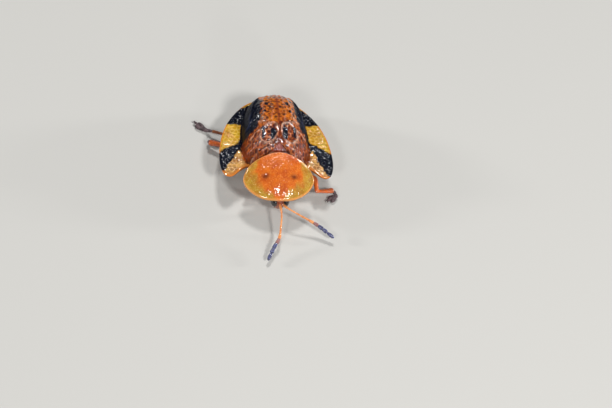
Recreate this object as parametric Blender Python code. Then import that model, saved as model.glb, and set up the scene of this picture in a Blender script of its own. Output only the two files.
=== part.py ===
"""Tortoise beetle, life size, standing with all six feet on the floor.

The beetle looks along -Y, its back is towards +Z and its left side is at +X.
Every size below is in millimetres. Meshes are scaled to metres as they are made.
The shapes are worked out in the beetle's own frame, whose origin is on the floor
under the hind tip of the pronotum. PLACE then moves everything so that the box of
the whole beetle stands centred on the row's origin.
"""

import math

import bmesh
import bpy
import numpy as np
from mathutils import Matrix, Vector, geometry

MM = 0.001
PLACE = (0.575, 0.253)

# Thin cut between neighbouring pieces. The whole beetle is under 10 mm long.
GAP = 0.1
SHELL = 0.5
RIM_THICKNESS = 0.24

# Wing covers. The crest is the height of the back along the suture, as (y, z).
CREST = (
    (-1.2, 2.75), (-0.1, 3.32), (0.6, 3.8), (1.1, 4.14), (1.6, 4.3), (2.2, 4.3), (3.0, 4.18),
    (4.0, 3.92), (4.6, 3.68), (5.1, 3.3), (5.5, 2.82), (5.8, 2.35), (6.05, 1.85), (6.25, 1.5), (6.5, 1.28),
)
RIM_FRONT_Z = 1.87
RIM_FALL = 0.09
DISC_HALF_WIDTH = 2.3
DISC_WIDEST_Y = 1.4
DISC_REAR = 4.75
DISC_ROUNDNESS = 2.6
DISC_FULLNESS = 0.7
REAR_FULLNESS = 0.5
SCUTELLUM = ((-0.34, 0.16), (0.34, 0.16), (0.0, 0.5))
SCUTELLUM_SUNK = 0.03
WING_CORNER_Y = 0.68
WING_OUTLINE = (
    (0.5, 0.16), (0.75, 0.08), (1.1, 0.0), (1.65, -0.06), (2.15, -0.2), (2.6, -0.52), (2.95, -0.88),
    (3.3, -1.03), (3.6, -0.85), (3.8, -0.3), (3.87, 0.5), (3.8, 1.6), (3.57, 2.8),
    (3.15, 3.95), (2.5, 5.0), (1.75, 5.8), (0.85, 6.27),
)
WING_REAR_Y = 6.4

# Ridges on each wing cover, as ((x, y) points, height, half width), mirrored for the right
RIDGES = (
    (((0.72, 1.92), (0.95, 2.1), (1.3, 2.28), (1.75, 2.42), (2.05, 2.36)), 0.17, 0.13),
    (((0.95, 2.1), (1.05, 2.55), (1.28, 2.92), (1.7, 2.8), (1.95, 2.42)), 0.12, 0.12),
    (((1.15, 0.78), (1.5, 0.6), (1.95, 0.35)), 0.15, 0.14),
    (((1.2, 1.62), (1.55, 1.5), (1.95, 1.25)), 0.1, 0.12),
    (((0.8, 2.1), (0.95, 3.0), (0.86, 4.2), (0.5, 5.4)), 0.07, 0.13),
    (((1.8, 2.6), (1.78, 3.3), (1.55, 4.4), (1.0, 5.3)), 0.09, 0.14),
    (((2.1, 0.1), (2.6, 0.05), (3.1, -0.2), (3.4, -0.5)), 0.07, 0.12),
    (((2.3, 0.7), (2.8, 0.9), (3.4, 1.15)), 0.06, 0.12),
)
RING_AT = (0.68, 1.2)
RING_RADII = (0.54, 0.66)
RING_TURN = 25.0
RING_HEIGHT = 0.2
RING_WIDTH = 0.11
RING_POINTS = 22
SUTURE_HEIGHT = 0.06
SUTURE_WIDTH = 0.12

# Pronotum, the shield over head and front legs
SHIELD_LENGTH = 3.0
SHIELD_BASE_Z = 3.35
SHIELD_FALL = 1.35
SHIELD_SWELL = 0.25
SHIELD_SIDE_FALL = 0.83
SHIELD_HALF_WIDTH = 2.4
SHIELD_OUTLINE = (
    (0.0, -3.0), (0.8, -2.92), (1.5, -2.62), (2.05, -2.15), (2.36, -1.62), (2.36, -1.28),
    (2.1, -0.82), (1.7, -0.5), (1.2, -0.28), (0.8, -0.14), (0.4, -0.03), (0.0, 0.02),
)
SHIELD_MIDDLE_Y = -1.6
LIP_HEIGHT = 0.05
LIP_INSET = 0.12
SHIELD_PIT = (0.96, -1.6)

# Underside
VENTER_Z = 1.0
CHEST_HALF = (1.38, 0.86)
CHEST_MIDDLE_Y = -0.94
CHEST_SQUARENESS = 0.75
CHEST_POINTS = 32
BODY_INSET = 0.46
FLANK = 0.12
WAIST_Y = 2.4
ABDOMEN_END_Y = 5.7
ROUND_FROM_Y = 3.6
SEGMENT_SEAMS = (3.25, 3.85, 4.4, 4.95)

# Head, turned a little to the beetle's left
HEAD_AT = (0.12, -2.42, 1.24)
HEAD_RADII = (0.6, 0.52, 0.52)
EYE_FLAT = 0.36
EYE_RADII = (0.2, 0.3, 0.36)

# Feelers: path from the brow to the tip, and the eleven segments as (length share, radius)
FEELERS = {
    "left": ((0.42, -2.98, 1.32), (0.95, -3.42, 1.3), (1.75, -3.78, 1.05), (2.75, -4.3, 0.72), (3.72, -5.0, 0.45)),
    "right": ((-0.2, -3.0, 1.32), (-0.02, -3.75, 1.25), (-0.02, -4.6, 1.0), (-0.22, -5.45, 0.72), (-0.9, -6.85, 0.42)),
}
FEELER_SEGMENTS = (
    (0.11, 0.27), (0.05, 0.24), (0.09, 0.24), (0.09, 0.24), (0.09, 0.24), (0.075, 0.24),
    (0.085, 0.25), (0.085, 0.26), (0.09, 0.26), (0.09, 0.26), (0.145, 0.25),
)

# Legs: the line of the thigh from hip to knee, the ankle, and the line of the foot to its claws
LEGS = {
    "front_left": (((0.95, -0.95, 0.9), (1.75, -0.66, 1.15), (2.48, -0.58, 1.3), (2.78, -1.42, 1.05)),
                   (3.95, -0.86, 0.5),
                   ((4.14, -1.03, 0.26), (4.06, -1.28, 0.18), (3.6, -1.52, 0.15))),
    "front_right": (((-0.95, -0.95, 0.9), (-2.05, -1.2, 1.2)),
                    (-1.6, -0.3, 0.5),
                    ((-1.52, -0.5, 0.24), (-1.38, -0.75, 0.17), (-1.15, -1.02, 0.15))),
    "middle_left": (((1.25, 0.85, 0.9), (2.45, 1.0, 1.05)),
                    (2.95, 2.1, 0.48),
                    ((3.1, 2.45, 0.22), (3.2, 2.8, 0.17), (3.3, 3.25, 0.15))),
    "middle_right": (((-1.25, 0.85, 0.9), (-2.7, 2.2, 0.98)),
                     (-4.35, 3.08, 0.52),
                     ((-4.27, 3.33, 0.24), (-3.95, 3.3, 0.17), (-3.42, 3.16, 0.15))),
    "hind_left": (((1.25, 2.15, 0.9), (2.15, 3.15, 0.92)),
                  (2.45, 4.3, 0.48),
                  ((2.48, 4.65, 0.22), (2.45, 5.05, 0.17), (2.35, 5.5, 0.15))),
    "hind_right": (((-1.25, 2.15, 0.9), (-2.75, 3.3, 0.86)),
                   (-4.1, 4.1, 0.48),
                   ((-4.48, 4.4, 0.22), (-4.86, 4.68, 0.18), (-5.25, 5.1, 0.15))),
}
COXA_RADII = (0.36, 0.3, 0.26)
FEMUR_RADIUS = 0.3
FEMUR_SWELL = ((0.0, 0.6), (0.15, 0.85), (0.4, 1.0), (0.7, 0.95), (0.9, 0.85), (1.0, 0.7))
KNEE_RADIUS = 0.21
TIBIA_RADIUS = 0.25

# Spacing of the points that carry a curved plate, and where the wing covers need it halved
COARSE = 0.3
FINE_SHARE = 1.02
FINE_TO_Y = 3.1
CLEAR = 0.07
GUIDE_STEP = 0.16
RING_FOOT = 0.26
WALL_STEPS = (0.0, -0.1, -0.26, 0.16)

COLOURS = {
    "disc": ((0.36, 0.10, 0.025), 0.25),
    "shield": ((0.70, 0.20, 0.03), 0.3),
    "venter": ((0.30, 0.11, 0.03), 0.4),
    "eye": ((0.012, 0.012, 0.016), 0.1),
    "feeler": ((0.75, 0.22, 0.05), 0.4),
    "leg": ((0.70, 0.20, 0.04), 0.35),
    "foot": ((0.12, 0.08, 0.07), 0.5),
}


def clear_scene():
    for obj in list(bpy.data.objects):
        bpy.data.objects.remove(obj)


def material(name):
    found = bpy.data.materials.get(name)
    if found:
        return found
    colour, roughness = COLOURS[name]
    made = bpy.data.materials.new(name)
    made.use_nodes = True
    shader = made.node_tree.nodes["Principled BSDF"]
    shader.inputs["Base Color"].default_value = (*colour, 1.0)
    shader.inputs["Roughness"].default_value = roughness
    shader.inputs["Metallic"].default_value = 0.0
    return made


def add_object(name, mesh, finish):
    """A named object from a bmesh in the beetle's own millimetres."""
    for vert in mesh.verts:
        x, y, z = vert.co
        vert.co = ((x + PLACE[0]) * MM, (y + PLACE[1]) * MM, z * MM)
    bmesh.ops.recalc_face_normals(mesh, faces=mesh.faces)
    data = bpy.data.meshes.new(name)
    mesh.to_mesh(data)
    mesh.free()
    data.shade_smooth()
    data.set_sharp_from_angle(angle=math.radians(50))
    data.materials.append(material(finish))
    obj = bpy.data.objects.new(name, data)
    bpy.context.scene.collection.objects.link(obj)
    return obj


def fuse(name, pieces, finish):
    """One closed body from overlapping pieces."""
    group = bpy.data.collections.new(name + "_pieces")
    bpy.context.scene.collection.children.link(group)
    first = add_object(name, pieces[0], finish)
    for index, piece in enumerate(pieces[1:]):
        other = add_object(f"{name}_piece_{index}", piece, finish)
        bpy.context.scene.collection.objects.unlink(other)
        group.objects.link(other)
    union = first.modifiers.new("union", "BOOLEAN")
    union.operation = "UNION"
    union.operand_type = "COLLECTION"
    union.collection = group
    union.solver = "EXACT"
    evaluated = first.evaluated_get(bpy.context.evaluated_depsgraph_get())
    joined = bpy.data.meshes.new_from_object(evaluated)
    first.modifiers.clear()
    first.data = joined
    for other in list(group.objects):
        bpy.data.objects.remove(other)
    bpy.data.collections.remove(group)
    return first


def interpolate(table, x):
    """A smooth curve through the (x, value) rows of a table, read at x."""
    at = np.array([row[0] for row in table], float)
    value = np.array([row[1] for row in table], float)
    slope = np.gradient(value, at)
    x = np.clip(x, at[0], at[-1])
    i = np.clip(np.searchsorted(at, x) - 1, 0, len(at) - 2)
    width = at[i + 1] - at[i]
    t = (x - at[i]) / width
    return (
        value[i] * (1 + 2 * t) * (1 - t) ** 2
        + slope[i] * width * t * (1 - t) ** 2
        + value[i + 1] * t**2 * (3 - 2 * t)
        + slope[i + 1] * width * t**2 * (t - 1)
    )


def curve_through(points, spacing):
    """Points about spacing apart on a smooth curve through the given ones."""
    points = [np.array(p, float) for p in points]
    ends = [2 * points[0] - points[1], *points, 2 * points[-1] - points[-2]]
    found = []
    for a, b, c, d in zip(ends, ends[1:], ends[2:], ends[3:]):
        steps = max(1, round(float(np.linalg.norm(c - b)) / spacing))
        for k in range(steps):
            t = k / steps
            found.append(
                0.5 * (2 * b + (c - a) * t + (2 * a - 5 * b + 4 * c - d) * t**2
                       + (3 * b - a - 3 * c + d) * t**3)
            )
    return [*found, points[-1]]


def distance_to_line(x, y, line):
    """How far each (x, y) lies from a polyline."""
    nearest = np.full(np.shape(x), np.inf)
    for (ax, ay), (bx, by) in zip(line, line[1:]):
        dx, dy = bx - ax, by - ay
        t = np.clip(((x - ax) * dx + (y - ay) * dy) / (dx * dx + dy * dy), 0, 1)
        nearest = np.minimum(nearest, np.hypot(x - ax - t * dx, y - ay - t * dy))
    return nearest


def disc_half_width(y):
    """Half the width of the domed middle of the wing covers at y."""
    rear = np.clip((y - DISC_WIDEST_Y) / DISC_REAR, 0, 1)
    front = np.clip(DISC_WIDEST_Y - y, 0, None)
    round_end = (1 - rear**DISC_ROUNDNESS) ** (1 / DISC_ROUNDNESS)
    return DISC_HALF_WIDTH * round_end - 0.055 * front**2


def rim_height(y):
    return RIM_FRONT_Z - RIM_FALL * y


def smooth(low, high, value):
    t = np.clip((value - low) / (high - low), 0, 1)
    return t * t * (3 - 2 * t)


def dome(x, y, crest, foot, half_width):
    """A vault from foot level at half_width up to the crest at x = 0, fuller towards the rear."""
    side = np.clip(1 - (x / np.maximum(half_width, 0.01)) ** 2, 0, None)
    fullness = DISC_FULLNESS + (REAR_FULLNESS - DISC_FULLNESS) * smooth(2.0, 4.5, y)
    return foot + np.maximum(crest - foot, 0) * side**fullness


def ring_share(x, y):
    """Distance from the middle of the ring on the left wing cover, 1 on the ring itself."""
    turn = math.radians(RING_TURN)
    x, y = x - RING_AT[0], y - RING_AT[1]
    across = x * math.cos(turn) + y * math.sin(turn)
    along = y * math.cos(turn) - x * math.sin(turn)
    return np.hypot(across / RING_RADII[0], along / RING_RADII[1])


def ring_loop(share):
    """Points round the ring on the left wing cover, at a share of its size."""
    turn = math.radians(RING_TURN)
    loop = []
    for k in range(RING_POINTS):
        round_it = 2 * math.pi * k / RING_POINTS
        across = share * RING_RADII[0] * math.cos(round_it)
        along = share * RING_RADII[1] * math.sin(round_it)
        loop.append((RING_AT[0] + across * math.cos(turn) - along * math.sin(turn),
                     RING_AT[1] + across * math.sin(turn) + along * math.cos(turn)))
    return loop


def wing_relief(x, y):
    """Height of the ridges, rings and suture of the wing covers."""
    x = np.abs(x)
    height = SUTURE_HEIGHT * np.exp(-((x / SUTURE_WIDTH) ** 2)) * (y > 1.9)
    for line, ridge, width in RIDGES:
        height = np.maximum(height, ridge * np.exp(-((distance_to_line(x, y, line) / width) ** 2)))
    around = ring_share(x, y)
    ring = RING_HEIGHT * np.exp(-(((around - 1) * np.mean(RING_RADII) / RING_WIDTH) ** 2))
    return np.maximum(height, ring) - 0.08 * np.exp(-((around / 0.6) ** 2))


def wing_top(x, y, relief=True):
    half_width = disc_half_width(y)
    foot = rim_height(y) + 0.13
    past = np.clip(np.abs(x) - half_width, 0, None)
    flange = rim_height(y) + 0.13 * np.exp(-past / 0.45) + 0.05 * (past / 1.4) ** 3
    vault = dome(x, y, interpolate(CREST, y), foot, half_width)
    height = np.where(np.abs(x) < half_width, vault, flange)
    return height + (wing_relief(x, y) if relief else 0)


def wing_bottom(x, y):
    """Underside: a shell of SHELL under the dome, thinning to RIM_THICKNESS at the rim."""
    half_width = disc_half_width(y)
    past = np.clip((np.abs(x) - half_width) / 1.3, 0, 1)
    flange = wing_top(x, y, relief=False) - (SHELL + (RIM_THICKNESS - SHELL) * past)
    foot = rim_height(y) + 0.13 - SHELL
    vault = dome(x, y, interpolate(CREST, y) - SHELL, foot, half_width - 0.8 * SHELL)
    return np.where(np.abs(x) < half_width, vault, flange)


def shield_form(x, y):
    along = np.clip(-y / SHIELD_LENGTH, 0, 1)
    middle = SHIELD_BASE_Z - SHIELD_FALL * along**1.15 + SHIELD_SWELL * np.sin(math.pi * along)
    return middle - SHIELD_SIDE_FALL * (x / SHIELD_HALF_WIDTH) ** 2


def shield_top(x, y):
    """The pronotum with its raised lip, its two low bosses at the front and a pit on either side."""
    lip = LIP_HEIGHT * np.exp(-((distance_to_line(np.abs(x), y, SHIELD_OUTLINE) / LIP_INSET) ** 2))
    bosses = 0.06 * np.exp(-(np.hypot((np.abs(x) - 0.45) / 0.35, (y + 2.3) / 0.3) ** 2))
    pits = 0.06 * np.exp(-(np.hypot((np.abs(x) - SHIELD_PIT[0]) / 0.25, (y - SHIELD_PIT[1]) / 0.2) ** 2))
    return shield_form(x, y) + lip + bosses - pits


def shield_bottom(x, y):
    out = np.hypot(x / SHIELD_HALF_WIDTH, (y - SHIELD_MIDDLE_Y) / 1.5)
    inner = np.clip(1 - out**2, 0, 1)
    return shield_form(x, y) - (RIM_THICKNESS + (SHELL - RIM_THICKNESS) * inner)


def venter(x, y):
    """Underside of the body, with the seams between the rings of the abdomen."""
    height = VENTER_Z + 0.35 * (x / 1.8) ** 2 + 0.05 * np.clip(y - 3.9, 0, None) ** 2
    for seam in SEGMENT_SEAMS:
        height = height + 0.06 * np.exp(-(((y - seam) / 0.07) ** 2))
    return height


def under_wing(x, y):
    return wing_bottom(x, y) - GAP


def under_shield(x, y):
    return shield_bottom(x, y) - GAP


def belly(x, y):
    """The venter, kept under the wing covers by the thin flank of the body."""
    return np.minimum(venter(x, y), under_wing(x, y) - FLANK)


def plan_points(outline, pitch, guides):
    """The guides, and points clear of them on a triangular grid whose spacing is pitch(x, y)."""
    outline = np.array(outline)
    low, high = outline.min(0), outline.max(0)
    kept = [g for g in guides if within(*g, outline) and distance_to_loop(*g, outline) > CLEAR]
    near = np.array(kept) if kept else np.full((1, 2), np.inf)
    inside = []
    base = 0.5 * COARSE
    rows = int((high[1] - low[1]) / (base * 0.866)) + 1
    for row in range(rows):
        y = low[1] + row * base * 0.866
        for column in range(int((high[0] - low[0]) / base) + 2):
            x = low[0] + (column + 0.5 * (row % 2)) * base
            coarse = row % 2 == 0 and (column + row // 2) % 2 == 0
            spacing = pitch(x, y)
            if not coarse and spacing > 0.75 * COARSE:
                continue
            if np.hypot(near[:, 0] - x, near[:, 1] - y).min() < 0.6 * spacing:
                continue
            if within(x, y, outline) and distance_to_loop(x, y, outline) > 0.55 * spacing:
                inside.append((x, y))
    return kept + inside


def within(x, y, outline):
    a, b = outline, np.roll(outline, -1, axis=0)
    spans = (a[:, 1] > y) != (b[:, 1] > y)
    rise = np.where(spans, b[:, 1] - a[:, 1], 1)
    crossing = a[:, 0] + (y - a[:, 1]) / rise * (b[:, 0] - a[:, 0])
    return bool(np.count_nonzero(spans & (x < crossing)) % 2)


def distance_to_loop(x, y, outline):
    return float(distance_to_line(x, y, [*map(tuple, outline), tuple(outline[0])]))


def plate(outline, top, bottom, pitch=lambda x, y: COARSE, guides=()):
    """A closed slab over a plan outline, between the heights top(x, y) and bottom(x, y).

    The guides are points that the mesh passes through, such as those along the top of a ridge.
    """
    loop = [tuple(map(float, p)) for p in outline]
    points = [Vector(p) for p in loop + plan_points(loop, pitch, guides)]
    edges = [(i, (i + 1) % len(loop)) for i in range(len(loop))]
    verts, _, faces, *_ = geometry.delaunay_2d_cdt(points, edges, [], 1, 1e-6)
    x = np.array([v[0] for v in verts])
    y = np.array([v[1] for v in verts])
    mesh = bmesh.new()
    upper = [mesh.verts.new(p) for p in zip(x, y, top(x, y))]
    lower = [mesh.verts.new(p) for p in zip(x, y, bottom(x, y))]
    sides = {}
    for face in faces:
        mesh.faces.new([upper[i] for i in face])
        mesh.faces.new([lower[i] for i in reversed(face)])
        for a, b in zip(face, [*face[1:], face[0]]):
            if sides.pop((b, a), None) is None:
                sides[(a, b)] = True
    for a, b in sides:
        mesh.faces.new((upper[b], upper[a], lower[a], lower[b]))
    return mesh


def ellipsoid(centre, radii, columns=16, rows=10):
    mesh = bmesh.new()
    size = Matrix.Translation(centre) @ Matrix.Diagonal((*radii, 1))
    bmesh.ops.create_uvsphere(mesh, u_segments=columns, v_segments=rows, radius=1, matrix=size)
    return mesh


def cut_flat(mesh, at, away):
    """Removes what lies past a plane, in the direction away, and closes the cut."""
    bmesh.ops.bisect_plane(
        mesh, geom=[*mesh.verts, *mesh.edges, *mesh.faces], dist=1e-6,
        plane_co=at, plane_no=away, clear_outer=True,
    )
    bmesh.ops.holes_fill(mesh, edges=[e for e in mesh.edges if e.is_boundary])
    return mesh


def loft(path, widths, heights, sides=8, floor=None):
    """A closed tube along a path with an oval section at each point. Nothing sinks under floor."""
    path = [Vector(p) for p in path]
    mesh = bmesh.new()
    rings = []
    for i, at in enumerate(path):
        along = (path[min(i + 1, len(path) - 1)] - path[max(i - 1, 0)]).normalized()
        across = along.cross(Vector((0, 0, 1))).normalized()
        up = across.cross(along)
        ring = []
        for k in range(sides):
            turn = 2 * math.pi * (k + 0.5) / sides
            p = at + across * widths[i] * math.cos(turn) + up * heights[i] * math.sin(turn)
            if floor is not None:
                p.z = max(p.z, floor)
            ring.append(mesh.verts.new(p))
        rings.append(ring)
    for a, b in zip(rings, rings[1:]):
        for k in range(sides):
            mesh.faces.new((a[k], a[(k + 1) % sides], b[(k + 1) % sides], b[k]))
    mesh.faces.new(reversed(rings[0]))
    mesh.faces.new(rings[-1])
    return mesh


def mirrored(points, side):
    return [(side * x, y) for x, y in points]


def inset(line, reach):
    """The points of a plan line moved sideways by reach, to the left of its direction."""
    line = np.array(line, float)
    along = np.gradient(line, axis=0)
    along /= np.linalg.norm(along, axis=1)[:, None]
    return [(float(x - reach * dy), float(y + reach * dx)) for (x, y), (dx, dy) in zip(line, along)]


def wing_guides():
    """Points on the crests and feet of the ridges and rings, and along the edge of the dome."""
    found = [p for share in (1 - RING_FOOT, 1.0, 1 + RING_FOOT) for p in ring_loop(share)]
    for line, _, width in RIDGES:
        crest = [tuple(map(float, p)) for p in curve_through(line, GUIDE_STEP)]
        for reach in (0.0, width, -width):
            for p in inset(crest, reach):
                if abs(float(ring_share(*p)) - 1) > 1.6 * RING_FOOT:
                    found.append(p)
    ys = np.arange(-0.1, 5.9, 1.5 * GUIDE_STEP)
    for reach in WALL_STEPS:
        found += [(float(disc_half_width(y) + reach), float(y)) for y in ys]
    return spread([(x, y) for x, y in found if x > 2 * CLEAR])


def spread(points):
    """The points less those that lie too near an earlier one."""
    kept = []
    for p in points:
        if all(math.dist(p, q) > CLEAR for q in kept):
            kept.append(p)
    return kept


def wing_cover(name, side):
    middle = GAP / 2
    suture = [(middle, y) for y in np.arange(WING_REAR_Y - 0.25, WING_CORNER_Y, -0.25)]
    edge = curve_through([*WING_OUTLINE, (middle, WING_REAR_Y)], 0.22)
    outline = mirrored([tuple(p) for p in edge] + suture + [(middle, WING_CORNER_Y)], side)

    def pitch(x, y):
        on_disc = abs(x) < disc_half_width(y) * FINE_SHARE
        return COARSE / 2 if on_disc and y < FINE_TO_Y else COARSE

    guides = mirrored(wing_guides(), side)
    return add_object(name, plate(outline, wing_top, wing_bottom, pitch, guides), "disc")


def scutellum():
    """The small triangle between the roots of the wing covers."""
    back = lambda x, y: interpolate(CREST, y) - SCUTELLUM_SUNK
    under = lambda x, y: interpolate(CREST, y) - SHELL
    return add_object("scutellum", plate(SCUTELLUM, back, under), "disc")


def pronotum():
    right = [tuple(p) for p in curve_through(SHIELD_OUTLINE, 0.22)]
    left = [(-x, y) for x, y in reversed(right[1:-1])]
    lip = inset(right, 2 * LIP_INSET)
    guides = spread(lip + mirrored(lip, -1))
    return add_object("pronotum", plate(right + left, shield_top, shield_bottom, guides=guides), "shield")


def body_loop(first, last):
    """Plan of a stretch of the body under the wing covers."""
    ys = np.linspace(first, last, 12)
    narrowing = np.clip((ys - ROUND_FROM_Y) / (ABDOMEN_END_Y + 0.1 - ROUND_FROM_Y), 0, 1)
    widths = (disc_half_width(ys) - BODY_INSET) * np.sqrt(1 - narrowing**2)
    right = [(float(width), float(y)) for width, y in zip(widths, ys)]
    left = [(-x, y) for x, y in reversed(right)]
    front = [(x, first) for x in np.linspace(left[-1][0], right[0][0], 12)[1:-1]]
    rear = [(x, last) for x in np.linspace(right[-1][0], left[0][0], 8 if right[-1][0] > 1 else 3)[1:-1]]
    return right + rear + left + front


def chest_loop():
    """Plan of the prothorax, broad and nearly square behind."""
    loop = []
    for k in range(CHEST_POINTS):
        turn = 2 * math.pi * k / CHEST_POINTS
        across, along = math.cos(turn), math.sin(turn)
        x = CHEST_HALF[0] * math.copysign(abs(across) ** CHEST_SQUARENESS, across)
        y = CHEST_MIDDLE_Y + CHEST_HALF[1] * math.copysign(abs(along) ** CHEST_SQUARENESS, along)
        loop.append((x, y))
    return loop


def coxa(name):
    """The rounded root of a leg, on the underside between body and femur."""
    hip = Vector(LEGS[name][0][0])
    inward = -math.copysign(GAP + COXA_RADII[0] * 0.9, hip.x)
    return ellipsoid((hip.x + inward, hip.y, VENTER_Z - 0.02), COXA_RADII, 12, 8)


def body():
    pieces = [plate(chest_loop(), under_shield, venter), coxa("front_left"), coxa("front_right")]
    fuse("prothorax", pieces, "venter")
    middle = plate(body_loop(0.02, WAIST_Y), under_wing, belly)
    coxae = [coxa(f"{row}_{side}") for row in ("middle", "hind") for side in ("left", "right")]
    fuse("thorax", [middle, *coxae], "venter")
    rear = plate(body_loop(WAIST_Y + GAP, ABDOMEN_END_Y), under_wing, belly)
    add_object("abdomen", rear, "venter")


def head():
    x, y, z = HEAD_AT
    skull = ellipsoid(HEAD_AT, HEAD_RADII, 20, 12)
    for side in (1, -1):
        skull = cut_flat(skull, (x + side * EYE_FLAT, y, z), (side, 0, 0))
    muzzle = ellipsoid((x, y - 0.12, z - 0.42), (0.3, 0.25, 0.28), 12, 8)
    jaws = [ellipsoid((x + s * 0.15, y - 0.12, z - 0.66), (0.14, 0.13, 0.14), 10, 6) for s in (1, -1)]
    fuse("head", [skull, muzzle, *jaws], "leg")
    for side, name in ((1, "left"), (-1, "right")):
        eye = ellipsoid((x + side * (EYE_FLAT + GAP), y - 0.12, z + 0.06), EYE_RADII, 14, 10)
        eye = cut_flat(eye, (x + side * (EYE_FLAT + GAP), y, z), (-side, 0, 0))
        add_object(f"eye_{name}", eye, "eye")


def feeler(name, route):
    """Eleven segments on one line, each a little swollen before the next waist."""
    line = curve_through(route, 0.05)
    steps = [0.0, *np.cumsum([np.linalg.norm(b - a) for a, b in zip(line, line[1:])])]
    length = steps[-1]

    def at(share):
        return [float(np.interp(share * length, steps, [p[k] for p in line])) for k in range(3)]

    path, radii, begin = [], [], 0.0
    total = sum(share for share, _ in FEELER_SEGMENTS)
    for share, radius in FEELER_SEGMENTS:
        share /= total
        for place, size in ((0.0, 0.8), (0.3, 0.95), (0.8, 1.0)):
            path.append(at(begin + place * share))
            radii.append(radius * size)
        begin += share
    path.append(at(1.0))
    radii.append(0.12)
    return add_object(name, loft(path, radii, radii, 8), "feeler")


def between(a, b, share):
    return Vector(a).lerp(Vector(b), share)


def shortened(a, b, start, end):
    """The stretch from a to b less a length at each end."""
    a, b = Vector(a), Vector(b)
    along = (b - a).normalized()
    return a + along * start, b - along * end


def femur(name, line):
    """The thigh, thickest before its middle."""
    route = curve_through(line, 0.05)
    shares = np.linspace(0, 1, 4 + 2 * len(line))
    path = [Vector(route[round(s * (len(route) - 1))]) for s in shares]
    radii = [FEMUR_RADIUS * float(interpolate(FEMUR_SWELL, s)) for s in shares]
    ahead = (path[-1] - path[-2]).normalized()
    for reach, share in ((0.12, 0.8), (0.19, 0.4)):
        path.append(Vector(line[-1]) + ahead * reach)
        radii.append(KNEE_RADIUS * share)
    return add_object(name, loft(path, radii, radii, 10), "leg")


def tibia(name, knee, ankle):
    a, b = shortened(knee, ankle, KNEE_RADIUS + GAP, GAP / 2)
    shares = (0.0, 0.15, 0.5, 0.85, 1.0)
    sizes = (0.8, 0.95, 0.95, 1.15, 1.0)
    path = [between(a, b, s) for s in shares]
    radii = [TIBIA_RADIUS * s for s in sizes]
    return add_object(name, loft(path, radii, radii, 10), "leg")


def tarsus(name, ankle, line):
    """The foot: three broad pads, the slim claw joint and two claws, flat underneath."""
    start = Vector(ankle) + (Vector(line[0]) - Vector(ankle)).normalized() * GAP
    route = curve_through([start, *line], 0.05)
    count = len(route) - 1
    shares = (0.0, 0.08, 0.22, 0.3, 0.38, 0.5, 0.56, 0.66, 0.78, 0.84, 0.92, 1.0)
    widths = (0.17, 0.22, 0.27, 0.2, 0.27, 0.3, 0.24, 0.32, 0.28, 0.17, 0.16, 0.14)
    heights = (0.17, 0.2, 0.22, 0.2, 0.22, 0.22, 0.21, 0.21, 0.2, 0.18, 0.17, 0.14)
    path = [Vector(route[round(s * count)]) for s in shares]
    pads = loft(path, widths, heights, 8, floor=0.0)
    tip, before = path[-1], path[-3]
    along = (tip - before).normalized()
    across = along.cross(Vector((0, 0, 1))).normalized()
    claws = []
    for side in (1, -1):
        root = tip - along * 0.06 + across * side * 0.05
        bend = tip + along * 0.12 + across * side * 0.13
        end = tip + along * 0.2 + across * side * 0.15 - Vector((0, 0, 0.07))
        claws.append(loft([root, bend, end], (0.07, 0.06, 0.03), (0.07, 0.06, 0.03), 6, floor=0.0))
    return fuse(name, [pads, *claws], "foot")


def legs():
    for name, (thigh, ankle, foot) in LEGS.items():
        femur("femur_" + name, thigh)
        tibia("tibia_" + name, thigh[-1], ankle)
        tarsus("tarsus_" + name, ankle, foot)


def main():
    clear_scene()
    wing_cover("elytron_left", 1)
    wing_cover("elytron_right", -1)
    scutellum()
    pronotum()
    body()
    head()
    for side, route in FEELERS.items():
        feeler("antenna_" + side, route)
    legs()


main()
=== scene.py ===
"""Looks of a tortoise beetle, life size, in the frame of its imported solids.

The beetle looks along -Y and its left side is at +X. Shapes are worked out in
millimetres in the beetle's own frame, whose origin is on the floor under the hind
tip of the pronotum, and are moved by PLACE and scaled to metres as they are made.
"""

import math
from functools import cache

import bpy
import numpy as np
from mathutils import Matrix, Vector, geometry


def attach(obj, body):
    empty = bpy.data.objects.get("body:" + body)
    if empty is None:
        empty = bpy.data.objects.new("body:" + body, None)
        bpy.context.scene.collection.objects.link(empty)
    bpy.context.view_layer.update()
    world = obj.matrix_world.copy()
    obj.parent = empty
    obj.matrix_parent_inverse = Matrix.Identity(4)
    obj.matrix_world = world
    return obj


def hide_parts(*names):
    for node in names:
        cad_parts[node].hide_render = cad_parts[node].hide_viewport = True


MM = 0.001

# Where the beetle's own origin lies in the frame, in mm
PLACE = (0.575, 0.253)

# Studio: square lights as (place, side, watts), and what they light, in mm
SOFTBOXES = (
    ((50, -90, 110), 22, 0.13),
    ((-55, -100, 95), 22, 0.05),
    ((5, 72, 124), 22, 0.1),
    ((28, -125, 46), 12, 0.02),
    ((112, 12, 26), 12, 0.045),
    ((-112, 16, 36), 12, 0.045),
)
LIT_AT = (0, 0, 2)
FLOOR_HALF = 600
SKY = (0.8, 0.9, 1, 1)
SKY_STRENGTH = 0.1

# Camera, fitted to points of the photograph: its angles in degrees, and in mm its aim, its distance, its
# lens and sensor, and where its view starts
CAMERA_AZIMUTH = -13.24
CAMERA_ELEVATION = 51.61
CAMERA_ROLL = 11.69
CAMERA_AIM = (1.75, -3.24, 2.0)
CAMERA_DISTANCE = 130.0
CAMERA_LENS = 114.8
SENSOR_WIDTH = 36
CLIP_START = 5

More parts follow.
